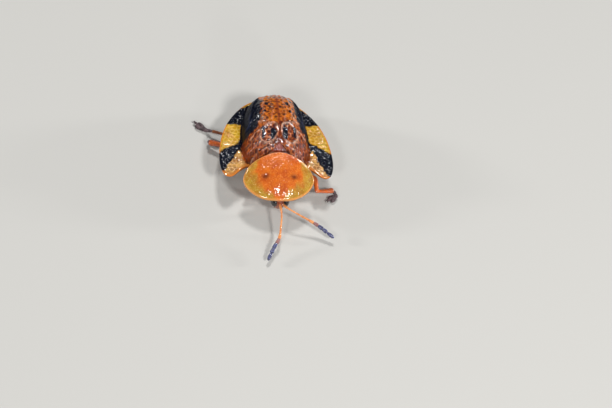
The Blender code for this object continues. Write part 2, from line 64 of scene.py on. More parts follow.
# Wing covers. The crest is the height of the back along the suture, as (y, z).
CREST = (
    (-1.2, 2.75), (-0.1, 3.32), (0.6, 3.8), (1.1, 4.14), (1.6, 4.3), (2.2, 4.3), (3.0, 4.18), (4.0, 3.92),
    (4.6, 3.68), (5.1, 3.3), (5.5, 2.82), (5.8, 2.35), (6.05, 1.85), (6.25, 1.5), (6.5, 1.28),
)
# The flat rim: its height at y = 0, its fall per mm of y, how far the foot of the dome is above it, over
# what width it rises to the foot, and how far it turns up again over its own width
RIM_FRONT_Z = 1.87
RIM_FALL = 0.09
FOOT_RISE = 0.13
FOOT_SPREAD = 0.45
RIM_TURN_UP = 0.05
RIM_WIDTH = 1.4
# The domed middle, called the disc: its plan, the powers that round its section in front and behind, and
# the least half width that it is counted with at its rear end
DISC_HALF_WIDTH = 2.3
DISC_WIDEST_Y = 1.4
DISC_REAR = 4.75
DISC_ROUNDNESS = 2.6
DISC_FRONT_TAPER = 0.055
DISC_FULLNESS = 0.7
REAR_FULLNESS = 0.5
LEAST_HALF_WIDTH = 0.3
# The front shoulders of the disc: where their rounding starts, its length, and how far it draws them in
SHOULDER_Y = 1.0
SHOULDER_LENGTH = 1.1
SHOULDER_DRAWN_IN = 0.8
WING_OUTLINE = (
    (0.5, 0.16), (0.75, 0.08), (1.1, 0.0), (1.65, -0.06), (2.15, -0.2), (2.6, -0.52),
    (2.95, -0.88), (3.3, -1.03), (3.6, -0.85), (3.8, -0.3), (3.87, 0.5), (3.8, 1.6),
    (3.57, 2.8), (3.15, 3.95), (2.5, 5.0), (1.75, 5.8), (0.85, 6.27),
)
# The inner front corner, rounded off over the scutellum's side, and the rear end
WING_CORNER_Y = 0.56
WING_CORNER = (0.21, 0.36)
WING_REAR_Y = 6.4
SCUTELLUM_BASE = (0.46, 0.14)
SCUTELLUM_TIP = 0.56
SCUTELLUM_SIDE = (0.2, 0.34)
SCUTELLUM_DEPTH = 0.3
# Thickness of the wing covers at the dome and at their rim, over what width it changes, and half the gap
# between the two
WING_SHELL = 0.16
RIM_SHELL = 0.09
THINS_OVER = 1.3
SEAM = 0.012

# Ridges on each wing cover, as ((x, y) points, height, half width)
RIDGES = (
    (((0.72, 1.92), (0.95, 2.1), (1.3, 2.28), (1.75, 2.42), (2.05, 2.36)), 0.17, 0.1),
    (((0.95, 2.1), (1.05, 2.55), (1.28, 2.92), (1.7, 2.8), (1.95, 2.42)), 0.13, 0.09),
    (((1.15, 0.78), (1.5, 0.6), (1.95, 0.35)), 0.13, 0.1),
    (((1.2, 1.62), (1.55, 1.5), (1.95, 1.25)), 0.11, 0.1),
    (((0.8, 2.1), (0.95, 3.0), (0.86, 4.2), (0.5, 5.4)), 0.06, 0.08),
    (((0.42, 2.1), (0.48, 3.2), (0.42, 4.4), (0.28, 5.4)), 0.04, 0.06),
    (((1.8, 2.6), (1.78, 3.3), (1.55, 4.4), (1.0, 5.3)), 0.1, 0.09),
    (((0.5, 0.42), (0.9, 0.3), (1.3, 0.2), (1.9, 0.05)), 0.1, 0.08),
    (((0.3, 0.75), (0.62, 0.45), (1.0, 0.5), (1.15, 0.78)), 0.12, 0.06),
    (((1.26, 1.0), (1.6, 1.0), (2.0, 0.8)), 0.09, 0.06),
)
# Low ridges of the rim, as lines of (x, y)
RIM_VEINS = (
    ((2.15, 0.0), (2.6, 0.1), (3.05, -0.05), (3.45, -0.4)),
    ((2.6, 0.1), (3.0, 0.5), (3.5, 0.6)),
    ((2.25, 0.6), (2.7, 0.85), (3.2, 1.15), (3.6, 1.2)),
    ((2.3, 1.5), (2.8, 1.95), (3.4, 2.05)),
    ((2.3, 2.5), (2.8, 2.85), (3.3, 3.0)),
    ((2.2, 3.3), (2.7, 3.65), (3.05, 3.7)),
)
PIT_PITCH = 0.32
PIT_SEED = 25
# The ring on each wing cover: its middle, its radii, how far it is turned in degrees, height and width
RING_AT = (0.68, 1.2)
RING_RADII = (0.54, 0.66)
RING_TURN = 25.0
RING_HEIGHT = 0.16
RING_WIDTH = 0.1
# The raised lip along the free edges, as (distance from the edge, half width)
LIP = (0.07, 0.08)
# Rows of a triangular grid, in spacings of its points
ROW = 0.866

# Black of the wing covers, in the same plan, for either side
BLACK_SIDE = (
    (2.05, 3.75), (2.55, 3.8), (3.3, 3.92), (3.2, 4.4), (2.65, 4.95), (2.25, 5.28),
    (1.85, 5.55), (1.45, 5.72), (1.12, 5.5), (1.2, 4.7), (1.2, 3.7), (1.3, 2.95), (1.42, 2.45),
    (1.55, 1.98), (1.82, 1.95), (1.98, 1.75), (2.05, 1.4), (2.2, 1.15), (2.55, 1.4), (2.9, 0.68),
    (3.35, -0.1), (3.6, -0.72), (3.9, -0.5), (4.0, 0.3), (3.95, 0.95), (3.6, 1.42), (3.0, 1.8),
    (2.6, 2.02), (2.36, 2.3), (2.28, 2.9), (2.24, 3.5),
)
# Width of the steep foot of the dome, and how far the colours of the disc reach out over the rim
STEEP_WIDTH = 0.3
COLOUR_REACH = 0.08
# How much further the black reaches on the left wing cover in front and on the right one behind
WIDER_LEFT = 0.2
WIDER_RIGHT = 0.13
# Round black marks as (x, y, half width, half length)
BLACK_MARKS = (
    (0.4, 1.12, 0.2, 0.46), (1.06, 1.36, 0.1, 0.42), (0.7, 3.92, 0.13, 0.15), (0.86, 3.12, 0.1, 0.13),
    (1.0, 4.32, 0.09, 0.14), (0.55, 4.6, 0.05, 0.08), (0.52, 3.4, 0.05, 0.07), (1.05, 3.5, 0.07, 0.1),
)

# Pronotum, called the shield: its height behind, and its fall and swell towards the front and the sides
SHIELD_LENGTH = 3.0
SHIELD_BASE_Z = 3.35
SHIELD_FALL = 1.35
SHIELD_FALL_POWER = 1.15
SHIELD_SWELL = 0.25
SHIELD_SIDE_FALL = 0.83
SHIELD_HALF_WIDTH = 2.4
SHIELD_HALF_LENGTH = 1.5
SHIELD_MIDDLE_Y = -1.6
SHIELD_THICKER = 0.12
SHIELD_OUTLINE = (
    (0.0, -3.0), (0.8, -2.92), (1.5, -2.62), (2.05, -2.15), (2.36, -1.62), (2.36, -1.28),
    (2.1, -0.82), (1.7, -0.5), (1.2, -0.28), (0.8, -0.14), (0.4, -0.03), (0.0, 0.02),
)
# Its dark spots and low bosses, at either side, and the middle and radii of its orange part
SHIELD_SPOTS = (0.96, -1.6)
BOSS_AT = (0.45, -2.35)
BOSS_RADII = (0.3, 0.25)
ORANGE_Y = -1.15
ORANGE_RADII = (1.62, 1.42)

# Body: the height of the underside, how far inside the disc its sides run, and its plan
VENTER_Z = 1.0
BODY_INSET = 0.24
CHEST_HALF = (1.4, 0.92)
CHEST_MIDDLE_Y = -0.94
CHEST_SQUARENESS = 0.75
WAIST_Y = 2.45
ROUND_FROM_Y = 3.6
ABDOMEN_END_Y = 5.7
# Seams of the underside: the abdomen's by their y, the breast's as ((x, y) points, depth)
SEAM_WIDTH = 0.05
SEGMENT_SEAMS = (3.25, 3.85, 4.4, 4.95)
BREAST_SEAMS = (
    (((0.0, 0.4), (0.0, 2.2)), 0.06),
    (((0.0, 1.35), (0.7, 1.25), (1.7, 1.5)), 0.06),
    (((1.45, 0.3), (1.5, 2.3)), 0.07),
)

# Head and eyes
HEAD_AT = (0.12, -2.42, 1.3)
HEAD_RADII = (0.56, 0.5, 0.5)
EYE_AT = (0.36, -0.16, 0.06)
EYE_RADII = (0.27, 0.33, 0.38)
EYE_FACET = 0.03
# Parts of the face as (place from the head's middle, radii, columns, rows): the muzzle and the lip in the
# middle, then the jaws and the roots of the feelers on either side
FACE = (
    ((0, -0.2, -0.3), (0.3, 0.24, 0.26), 32, 20),
    ((0, -0.14, -0.52), (0.24, 0.16, 0.12), 28, 14),
)
FACE_PAIRS = (
    ((0.1, -0.1, -0.6), (0.13, 0.11, 0.13), 20, 14),
    ((0.11, -0.44, 0.12), (0.1, 0.08, 0.1), 20, 12),
)
# The three joints of a palp, as (how far down, radius)
PALP = ((0.0, 0.055), (0.09, 0.06), (0.18, 0.05))

# Feelers: the line from the brow to the tip, and the eleven segments as (length, radius) in mm
FEELERS = {
    "left": ((0.27, -2.86, 1.42), (0.6, -3.2, 1.44), (1.4, -3.62, 1.25), (2.62, -4.14, 0.85),
             (3.73, -4.88, 0.45)),
    "right": ((0.06, -2.88, 1.42), (0.14, -3.3, 1.42), (0.16, -3.85, 1.32), (0.09, -4.5, 1.1),
              (-0.03, -5.23, 0.8), (-0.38, -5.83, 0.6), (-0.84, -6.79, 0.4)),
}
FEELER_SEGMENTS = (
    (0.46, 0.088), (0.2, 0.068), (0.36, 0.062), (0.36, 0.064), (0.34, 0.068), (0.3, 0.074),
    (0.34, 0.105), (0.35, 0.128), (0.36, 0.138), (0.36, 0.138), (0.58, 0.13),
)
# Swelling of a segment along its length, and of the last one
SEGMENT_PROFILE = ((0, 0.72), (0.12, 0.84), (0.45, 0.95), (0.8, 1.0), (0.95, 0.95), (1, 0.74))
LAST_SEGMENT_PROFILE = ((0, 0.5), (0.12, 0.75), (0.4, 1.0), (0.7, 0.88), (0.92, 0.5), (1, 0.12))

# Legs: the line of the thigh from hip to knee, the ankle, and the line of the foot to its claws
LEGS = {
    "front_left": (((0.95, -0.95, 0.9), (1.75, -0.66, 1.15), (2.55, -0.55, 1.36), (2.74, -1.42, 1.08)),
                   (3.95, -0.86, 0.5),
                   ((4.14, -1.03, 0.26), (4.06, -1.28, 0.18), (3.6, -1.52, 0.15))),
    "front_right": (((-0.95, -0.95, 0.9), (-2.05, -1.2, 1.2)),
                    (-1.6, -0.3, 0.5),
                    ((-1.52, -0.5, 0.24), (-1.38, -0.75, 0.17), (-1.15, -1.02, 0.15))),
    "middle_left": (((1.25, 0.85, 0.9), (2.45, 1.0, 1.05)),
                    (2.95, 2.1, 0.48),
                    ((3.1, 2.45, 0.22), (3.2, 2.8, 0.17), (3.3, 3.25, 0.15))),
    "middle_right": (((-1.25, 0.85, 0.9), (-2.7, 2.2, 0.98)),
                     (-4.35, 3.08, 0.52),
                     ((-4.27, 3.33, 0.24), (-3.95, 3.3, 0.17), (-3.42, 3.16, 0.15))),
    "hind_left": (((1.25, 2.15, 0.9), (2.15, 3.15, 0.92)),
                  (2.45, 4.3, 0.48),
                  ((2.48, 4.65, 0.22), (2.45, 5.05, 0.17), (2.35, 5.5, 0.15))),
    "hind_right": (((-1.25, 2.15, 0.9), (-2.75, 3.3, 0.86)),
                   (-4.1, 4.1, 0.48),
                   ((-4.48, 4.4, 0.22), (-4.86, 4.68, 0.18), (-5.25, 5.1, 0.15))),
}
# How stout each shin is, where it isn't 1
STOUT = {"hind_right": 0.62, "hind_left": 0.72, "middle_right": 1.08}
# The balls of a hip as (how far in from the thigh, drop, radii, columns, rows)
COXA_BALLS = ((0.42, 0.02, (0.4, 0.28, 0.24), 32, 20), (0.08, 0.1, (0.2, 0.17, 0.16), 20, 12))
# Radii along the limbs, as (share of length, radius)
THIGH_PROFILE = ((0, 0.13), (0.12, 0.19), (0.4, 0.23), (0.7, 0.2), (0.9, 0.155), (1, 0.14))
SHIN_PROFILE = ((0, 0.1), (0.1, 0.12), (0.4, 0.15), (0.75, 0.18), (0.93, 0.195), (1, 0.17))
SHIN_BOW = 0.03
KNEE_RADII = (0.13, 0.13, 0.13)
# Feet: the short joints as (start, end, half width, half height), starts and ends as shares of the foot
FOOT_JOINTS = ((0.0, 0.27, 0.13, 0.12), (0.24, 0.48, 0.17, 0.13))
JOINT_PROFILE = ((0, 0.5), (0.25, 0.75), (0.7, 1.0), (0.92, 0.95), (1, 0.6))
# The two lobes: their span, their line as (share of the span, way out) and their radii
LOBES_SPAN = (0.44, 0.88)
LOBE_LINE = ((0, 0.02), (0.3, 0.09), (0.65, 0.13), (1, 0.14))
LOBE_PROFILE = ((0, 0.1), (0.3, 0.14), (0.7, 0.15), (1, 0.11))
# The claw joint, its span and its rise, and the claws, whose line goes (forwards, out, up) from its end
CLAW_JOINT_SPAN = (0.7, 1.0)
CLAW_JOINT_RISE = 0.06
CLAW_JOINT_PROFILE = ((0, 0.05), (0.5, 0.06), (0.9, 0.08), (1, 0.06))
CLAW_LINE = ((-0.03, 0, 0), (0.06, 0.05, 0.02), (0.11, 0.075, -0.03), (0.13, 0.08, -0.12))
CLAW_PROFILE = ((0, 0.035), (0.5, 0.026), (1, 0.008))
# Length over which the ends of limbs are rounded
ROUND_END = 0.06

# Horn as (name, light colour, dark colour), and how deep light goes into it in mm
LIMB = ("limb_horn", (214, 104, 34), (150, 62, 22))
# A darker copy of the limb horn for the hind right shin: painted shade
PAINTED_SHADE_LIMB = ("limb_horn_painted_shade", (150, 84, 44), (84, 48, 28))
PAINTED_SHADE_SHIN = "shin_hind_right"
HEAD_HORN = ("head_horn", (196, 92, 30), (110, 44, 18))
SCUTELLUM_HORN = ("scutellum_horn", (150, 58, 20), (84, 26, 10))
GLOW_DEPTH = 0.15

# Spacing of the points of the relief, of the underside and of the limbs, in mm
FINE = 0.03
UNDERSIDE_PITCH = 0.05
SMALL = 0.02
# Height over the floor of the lobes, of the claws and of the roots of the brush
SOLE = 0.012
CLAW_SOLE = 0.004
BRUSH_Z = 0.065
# Numbers of hairs: under each lobe, on each foot and shin, and on each bare and downy feeler segment
SOLE_HAIRS = 90
BACK_HAIRS = 50
SHIN_HAIRS = 70
BARE_HAIRS = 8
DOWN_HAIRS = 26
DOWNY_FROM = 6
# Hairs as (least length, greatest length, thickness), and how far from the middle line they are rooted
FEELER_HAIR = (0.04, 0.075, 0.004)
SHIN_HAIR = (0.06, 0.12, 0.005)
BACK_HAIR = (0.05, 0.08, 0.003)
BRUSH_HAIR = (0.062, 0.062, 0.005)
SHIN_ROOTS = 0.14
BACK_ROOTS = 0.1
# Seeds of the hairs' places and lengths
FEELER_SEED = 7
SHIN_SEED = 5
FOOT_SEED = 3
UP = Vector((0, 0, 1))
# A direction that hardly any hair points in, to lay out its sections
HAIR_UP = (0.3, 0.5, 0.8)


def smooth(low, high, value):
    t = np.clip((value - low) / (high - low), 0, 1)
    return t * t * (3 - 2 * t)


def interpolate(table, x):
    """A smooth curve through the (x, value) rows of a table, read at x."""
    at = np.array([row[0] for row in table], float)
    value = np.array([row[1] for row in table], float)
    slope = np.gradient(value, at)
    x = np.clip(x, at[0], at[-1])
    i = np.clip(np.searchsorted(at, x) - 1, 0, len(at) - 2)
    width = at[i + 1] - at[i]
    t = (x - at[i]) / width
    return (
        value[i] * (1 + 2 * t) * (1 - t) ** 2
        + slope[i] * width * t * (1 - t) ** 2
        + value[i + 1] * t**2 * (3 - 2 * t)
        + slope[i + 1] * width * t**2 * (t - 1)
    )


def curve_through(points, spacing):
    """Points about spacing apart on a smooth curve through the given ones."""
    points = [np.array(p, float) for p in points]
    ends = [2 * points[0] - points[1], *points, 2 * points[-1] - points[-2]]
    found = []
    for a, b, c, d in zip(ends, ends[1:], ends[2:], ends[3:]):
        steps = max(1, round(float(np.linalg.norm(c - b)) / spacing))
        for k in range(steps):
            t = k / steps
            found.append(
                0.5 * (2 * b + (c - a) * t + (2 * a - 5 * b + 4 * c - d) * t**2
                       + (3 * b - a - 3 * c + d) * t**3)
            )
    return [*found, points[-1]]


def line_through(points, spacing):
    """The points of curve_through as plain tuples."""
    return [tuple(map(float, p)) for p in curve_through(points, spacing)]


EDGE_LINE = line_through([*WING_OUTLINE, (SEAM, WING_REAR_Y)], 0.15)
SHIELD_EDGE = line_through(SHIELD_OUTLINE, 0.12)


def distance_to_line(x, y, line):
    """How far each (x, y) lies from a polyline."""
    nearest = np.full(np.shape(x), np.inf)
    for (ax, ay), (bx, by) in zip(line, line[1:]):
        dx, dy = bx - ax, by - ay
        t = np.clip(((x - ax) * dx + (y - ay) * dy) / (dx * dx + dy * dy), 0, 1)
        nearest = np.minimum(nearest, np.hypot(x - ax - t * dx, y - ay - t * dy))
    return nearest


def hump(far, half_width=1):
    """A smooth bump, 1 where far is 0 and low past the half width."""
    return np.exp(-((far / half_width) ** 2))


def ridge(x, y, line, half_width):
    return hump(distance_to_line(x, y, line), half_width)


def inside_loop(x, y, loop):
    """Whether each (x, y) is inside a closed loop."""
    crossings = np.zeros(np.shape(x), int)
    for (ax, ay), (bx, by) in zip(loop, [*loop[1:], loop[0]]):
        if ay == by:
            continue
        spans = (ay > y) != (by > y)
        crossings += spans & (x < ax + (y - ay) / (by - ay) * (bx - ax))
    return crossings % 2 == 1


def depth_in_loop(x, y, loop):
    """Distance to a closed loop, positive inside it and negative outside."""
    far = distance_to_line(x, y, [*loop, loop[0]])
    return np.where(inside_loop(x, y, loop), far, -far)


def scatter(i, j, seed):
    """A repeatable random number from 0 to 1 for each cell (i, j)."""
    mixed = np.sin(i * 127.1 + j * 311.7 + seed * 74.7) * 43758.5453
    return mixed - np.floor(mixed)


def blur_noise(x, y, size, seed):
    """Smooth random heights from -1 to 1 over patches of the given size."""
    gx, gy = x / size, y / size
    i, j = np.floor(gx), np.floor(gy)
    u, v = smooth(0, 1, gx - i), smooth(0, 1, gy - j)
    low = scatter(i, j, seed) * (1 - u) + scatter(i + 1, j, seed) * u
    high = scatter(i, j + 1, seed) * (1 - u) + scatter(i + 1, j + 1, seed) * u
    return 2 * (low * (1 - v) + high * v) - 1


def nearest_cells(x, y, size, seed, jitter):
    """The nearest and second nearest centres of jittered cells: distances in cell sizes, the way
    to the nearest centre in mm and its row and column."""
    gy = y / (size * ROW)
    row = np.floor(gy)
    first = np.full(np.shape(x), 9.0)
    second = np.full(np.shape(x), 9.0)
    nearest = [np.zeros(np.shape(x)) for _ in range(4)]
    for dj in (-1, 0, 1):
        j = row + dj
        gx = x / size - 0.5 * (j % 2)
        column = np.floor(gx)
        for di in (-1, 0, 1):
            i = column + di
            dx = gx - i - 0.5 - jitter * (2 * scatter(i, j, seed) - 1)
            dy = ROW * (gy - j - 0.5 - jitter * (2 * scatter(i, j, seed + 1) - 1))
            far = np.hypot(dx, dy)
            nearer = far < first
            second = np.where(nearer, first, np.minimum(second, far))
            found = (dx * size, dy * size, i, j)
            nearest = [np.where(nearer, new, old) for new, old in zip(found, nearest)]
            first = np.where(nearer, far, first)
    return first, second, *nearest


def cells(x, y, size, seed, jitter=0.36):
    """Distances to the two nearest centres of jittered cells, in cell sizes, and the cell's random number."""
    first, second, _, _, i, j = nearest_cells(x, y, size, seed, jitter)
    return first, second, scatter(i, j, seed + 2)


def bowls(x, y, size, seed, slope):
    """Shallow round pits side by side with creases between, up to the given slope at their edges."""
    first, _, dx, dy, i, j = nearest_cells(x, y, size, seed, 0.3)
    turn = 2 * math.pi * scatter(i, j, seed + 5)
    lean = 1.2 * slope * scatter(i, j, seed + 6)
    rise = slope * (0.7 + 0.6 * scatter(i, j, seed + 7))
    return rise * size * first**2 + lean * (dx * np.cos(turn) + dy * np.sin(turn))


def rim_start(y):
    """How far from the suture the flat rim of the wing covers starts at y, but for the shoulders."""
    rear = np.clip((y - DISC_WIDEST_Y) / DISC_REAR, 0, 1)
    front = np.clip(DISC_WIDEST_Y - y, 0, None)
    round_end = (1 - rear**DISC_ROUNDNESS) ** (1 / DISC_ROUNDNESS)
    return DISC_HALF_WIDTH * round_end - DISC_FRONT_TAPER * front**2


def disc_half_width(y):
    """Half the width of the domed middle of the wing covers at y, with rounded shoulders in front."""
    shoulder = np.clip((SHOULDER_Y - y) / SHOULDER_LENGTH, 0, 1)
    return rim_start(y) - SHOULDER_DRAWN_IN * (1 - np.sqrt(1 - shoulder**2))


def rim_height(y):
    return RIM_FRONT_Z - RIM_FALL * y


def dome(x, y, crest, foot, half_width):
    """A vault from foot level at half_width up to the crest at x = 0, fuller towards the rear."""
    side = np.clip(1 - (x / np.maximum(half_width, 0.01)) ** 2, 0, None)
    fullness = DISC_FULLNESS + (REAR_FULLNESS - DISC_FULLNESS) * smooth(2.0, 4.5, y)
    return foot + np.maximum(crest - foot, 0) * side**fullness


def lengths_along(at, height):
    """Length along a profile from its first point, at each of its points."""
    return np.concatenate([[0], np.cumsum(np.hypot(np.diff(at), np.diff(height)))])


# Sections of the dome, and the length over its skin at each of their points
ACROSS = np.linspace(0, 1, 80)
ACROSS_SKIN = lengths_along(ACROSS, (1 - ACROSS**2) ** 0.65)
ALONG = np.linspace(CREST[0][0], CREST[-1][0], 120)
ALONG_SKIN = lengths_along(ALONG, interpolate(CREST, ALONG))


def share_out(x, y):
    """How far a point is out from the suture, 1 at the foot of the dome."""
    return np.abs(x) / np.maximum(disc_half_width(y), LEAST_HALF_WIDTH)


def skin(x, y):
    """Distances over the skin, so that patterns aren't drawn out down the sides of the dome."""
    half_width = np.maximum(disc_half_width(y), LEAST_HALF_WIDTH)
    share = share_out(x, y)
    across = np.copysign(half_width * np.interp(share, ACROSS, ACROSS_SKIN), x)
    along = np.interp(y, ALONG, ALONG_SKIN)
    return np.where(share < 1, across, x), np.where(share < 1, along, y)


def steep(x, y):
    """1 on the upright foot of the dome."""
    return smooth(0.85, 0.97, share_out(x, y)) * on_disc(x, y)


def wing_form(x, y):
    """The dome and its rim without ridges or pits."""
    half_width = disc_half_width(y)
    foot = rim_height(y) + FOOT_RISE
    past = np.clip(np.abs(x) - rim_start(y), 0, None)
    flange = rim_height(y) + FOOT_RISE * np.exp(-past / FOOT_SPREAD) + RIM_TURN_UP * (past / RIM_WIDTH) ** 3
    vault = dome(x, y, interpolate(CREST, y), foot, half_width)
    return np.where(np.abs(x) < half_width, vault, flange)


def on_disc(x, y):
    """1 on the dome, 0 on the flat rim, with a narrow change between."""
    return smooth(0.06, -0.06, np.abs(x) - disc_half_width(y))


def beyond(x, y):
    """How far out over the rim a point lies from the foot of the dome, in plan."""
    step = 0.02
    lean = (disc_half_width(y + step) - disc_half_width(y - step)) / (2 * step)
    out = (np.abs(x) - disc_half_width(y)) / np.sqrt(1 + lean**2)
    return np.maximum(out, y - DISC_WIDEST_Y - DISC_REAR)


def dome_coloured(x, y):
    """1 on the dome and on the strip of the rim next to it that has the dome's colours."""
    return smooth(COLOUR_REACH + 0.04, COLOUR_REACH - 0.04, beyond(x, y))


def rugged(x, y):
    """How coarse the surface is: strongest on the shoulders, weakest on the rear of the back."""
    front = smooth(2.6, 1.4, y)
    side = smooth(0.9, 1.6, np.abs(x))
    return 0.42 + 0.58 * np.maximum(front, 0.55 * side)


def pits(x, y):
    """Depth share of the pits, 0 to 1, and of the raised net between them."""
    first, second, number = cells(x, y, PIT_PITCH, PIT_SEED, 0.3)
    pit = smooth(0.5, 0.2, first) * smooth(0.3, 0.6, number)
    net = smooth(0.3, 0.0, second - first)
    return pit, net


def pit_mark(x, y):
    return (1 - steep(x, y)) * pits(*skin(x, y))[0]


def net_mark(x, y):
    return (1 - steep(x, y)) * pits(*skin(x, y))[1]


def ring_share(x, y):
    """Distance from the middle of the ring on the left wing cover, 1 on the ring itself."""
    turn = math.radians(RING_TURN)
    x, y = x - RING_AT[0], y - RING_AT[1]
    across = x * math.cos(turn) + y * math.sin(turn)
    along = y * math.cos(turn) - x * math.sin(turn)
    return np.hypot(across / RING_RADII[0], along / RING_RADII[1])


def past_ring(around):
    """The way from the ring itself to a point, in mm, from its ring_share."""
    return (around - 1) * np.mean(RING_RADII)


def wavy(x, y):
    """How far the ridges stray from their lines."""
    return 0.05 * blur_noise(x, y, 0.45, 21)


def back_relief(x, y):
    """Height in mm of ridges, rings and pits of the disc over its plain form."""
    over, back = skin(x, y)
    side = np.abs(x)
    stray = wavy(x, y)
    suture = 0.05 * hump(side, 0.1) * smooth(1.6, 2.0, y)
    height = suture
    for line, high, half_width in RIDGES:
        height = np.maximum(height, high * ridge(side + stray, y, line, half_width))
    height = height * (1 + 0.35 * blur_noise(x, y, 0.35, 27))
    around = ring_share(side + 0.6 * stray, y)
    ring = RING_HEIGHT * hump(past_ring(around), RING_WIDTH)
    hollow = 0.07 * hump(around, 0.6)
    height = np.maximum(height, ring) - hollow
    crests = smooth(0.02, 0.12, height)
    lumps = 0.03 * blur_noise(over, back, 0.5, 22)
    slope = 0.32 + 0.1 * smooth(1.6, 0.8, y)
    pitted = (1 - 0.5 * crests) * (1 - steep(side, y)) * bowls(over, back, PIT_PITCH, PIT_SEED, slope)
    return height + rugged(side, y) * (lumps * (1 - crests) + pitted)


def rim_relief(x, y):
    """Height in mm of veins, pits and the lip of the rim over its plain form."""
    side = np.abs(x)
    stray = wavy(x, y)
    veins = np.zeros(np.shape(x))
    for line in RIM_VEINS:
        veins = np.maximum(veins, ridge(side + stray, y, line, 0.08))
    rough = np.maximum(smooth(1.6, 0.6, y), wing_black(x, y))
    pitted = (0.4 + 0.6 * rough) * bowls(x, y, PIT_PITCH, PIT_SEED, 0.3) * (1 + 0.3 * smooth(1.8, 2.4, y))
    height = 0.05 * veins + 0.015 * blur_noise(x, y, 0.5, 24) + pitted
    to_edge = edge_depth(x, y)
    return height * smooth(0.02, 0.25, to_edge) + 0.035 * hump(to_edge - LIP[0], LIP[1])


def wing_relief(x, y):
    """Height in mm of the whole relief of the wing covers, with the groove round the disc."""
    disc = on_disc(x, y)
    groove = -0.05 * hump(np.abs(x) - disc_half_width(y), 0.07)
    return disc * back_relief(x, y) + (1 - disc) * rim_relief(x, y) + groove


def dull(x, y):
    """1 where the gloss is weakest: down the sides of the dome and on the rim behind."""
    disc = dome_coloured(x, y)
    share = share_out(x, y)
    side = np.maximum(smooth(0.45, 0.75, share) * smooth(0.7, 1.3, y), 0.65 * smooth(0.65, 0.9, share))
    rim = np.maximum(0.78 * smooth(1.8, 2.4, y), 0.35 * wing_black(x, y))
    return side * disc + rim * (1 - disc)


def crest_painted_highlight(x, y):
    """1 along the top of the ridges and rings, where a highlight is painted on."""
    stray = wavy(x, y)
    x = np.abs(x)
    found = np.zeros(np.shape(x))
    for line, high, half_width in RIDGES:
        found = np.maximum(found, min(1, high / 0.12) * ridge(x + stray, y, line, 0.6 * half_width))
    found = found * smooth(-0.2, 0.5, blur_noise(x, y, 0.25, 28))
    around = ring_share(x + 0.6 * stray, y)
    return np.maximum(found, hump(past_ring(around), 0.6 * RING_WIDTH))


def edge_mark(x, y):
    """1 along the free edge of the wing covers, in a band that is wider in front."""
    return smooth(0.1 + 0.2 * smooth(1.2, 0.2, y), 0.03, edge_depth(x, y)) * (1 - on_disc(x, y))


def edge_depth(x, y):
    return distance_to_line(np.abs(x), y, EDGE_LINE)


def wing_top(x, y):
    return wing_form(x, y) + wing_relief(x, y)


def wing_bottom(x, y):
    half_width = disc_half_width(y)
    past = np.clip((np.abs(x) - rim_start(y)) / THINS_OVER, 0, 1)
    flange = wing_form(x, y) - (WING_SHELL + (RIM_SHELL - WING_SHELL) * past)
    foot = rim_height(y) + FOOT_RISE - WING_SHELL
    vault = dome(x, y, interpolate(CREST, y) - WING_SHELL, foot, half_width - 0.8 * WING_SHELL)
    return np.where(np.abs(x) < half_width, vault, flange)


def wing_black(x, y):
    """The black pattern of the wing covers, 0 to 1, with a line of painted shade along the edge of the dome
    behind.
    """
    over, back = skin(x, y)
    wobble = 0.07 * blur_noise(over, back, 0.3, 41) + 0.04 * blur_noise(over, back, 0.12, 42)
    side = np.abs(x)
    near_dome = beyond(x, y) < COLOUR_REACH
    # On the steep foot of the dome the pattern is read further in, so that it comes straight down
    side = np.where(near_dome, np.minimum(side, disc_half_width(y) - STEEP_WIDTH), side)
    wider = WIDER_LEFT * (x > 0) * smooth(1.2, 0.2, y)
    wider = wider + WIDER_RIGHT * (x < 0) * smooth(1.5, 2.2, y) * near_dome
    black = smooth(-0.05, 0.05, depth_in_loop(side, y, BLACK_SIDE) + wobble + wider)
    for cx, cy, half_width, half_length in BLACK_MARKS:
        far = np.hypot((side - cx) / half_width, (y - cy) / half_length)
        black = np.maximum(black, smooth(1.25, 0.8, far + 3 * wobble))
    # Painted shade: a dark line along the edge of the dome at the rear
    rear_painted_shade = smooth(0.08, 0.03, np.abs(beyond(x, y) - COLOUR_REACH)) * smooth(4.4, 5.2, y)
    return np.maximum(black, 0.9 * rear_painted_shade)


def shield_form(x, y):
    along = np.clip(-y / SHIELD_LENGTH, 0, 1)
    middle = SHIELD_BASE_Z - SHIELD_FALL * along**SHIELD_FALL_POWER + SHIELD_SWELL * np.sin(math.pi * along)
    return middle - SHIELD_SIDE_FALL * (x / SHIELD_HALF_WIDTH) ** 2


def shield_clear(x, y):
    """1 on the clear margin of the pronotum and 0 on its orange middle."""
    wobble = 0.12 * blur_noise(x, y, 0.4, 51) + 0.06 * blur_noise(x, y, 0.15, 52)
    far = np.hypot(x / ORANGE_RADII[0], (y - ORANGE_Y) / ORANGE_RADII[1])
    tongue = 0.5 * hump(x, 0.3) * smooth(-1.9, -2.5, y)
    return smooth(0.85, 1.2, far + wobble - tongue)


def paired(x, y, middle, radii):
    """A smooth bump, 1 at the given point and at its mirror image."""
    return hump(np.hypot((np.abs(x) - middle[0]) / radii[0], (y - middle[1]) / radii[1]))


def shield_relief(x, y):
    """Height in mm of the grain, lip, spots and bosses of the pronotum over its plain form."""
    clear = shield_clear(x, y)
    grain = bowls(x, y, 0.17, 61, 0.3) * (0.35 + 0.65 * smooth(-1.7, -0.9, y))
    margin = bowls(x, y, 0.18, 65, 0.13)
    to_edge = distance_to_line(np.abs(x), y, SHIELD_EDGE)
    lip = 0.04 * hump(to_edge - LIP[0], LIP[1])
    bead = 0.05 * hump(to_edge - 0.05, 0.045) * smooth(-1.9, -1.4, y)
    spots = -0.05 * paired(x, y, SHIELD_SPOTS, (0.16, 0.16))
    bosses = 0.05 * paired(x, y, BOSS_AT, BOSS_RADII)
    swell = 0.015 * blur_noise(x, y, 0.45, 62)
    edge = smooth(0.0, 0.12, to_edge)
    return ((1 - clear) * grain + clear * margin + swell) * edge + lip + bead + spots + bosses


def shield_top(x, y):
    return shield_form(x, y) + shield_relief(x, y)


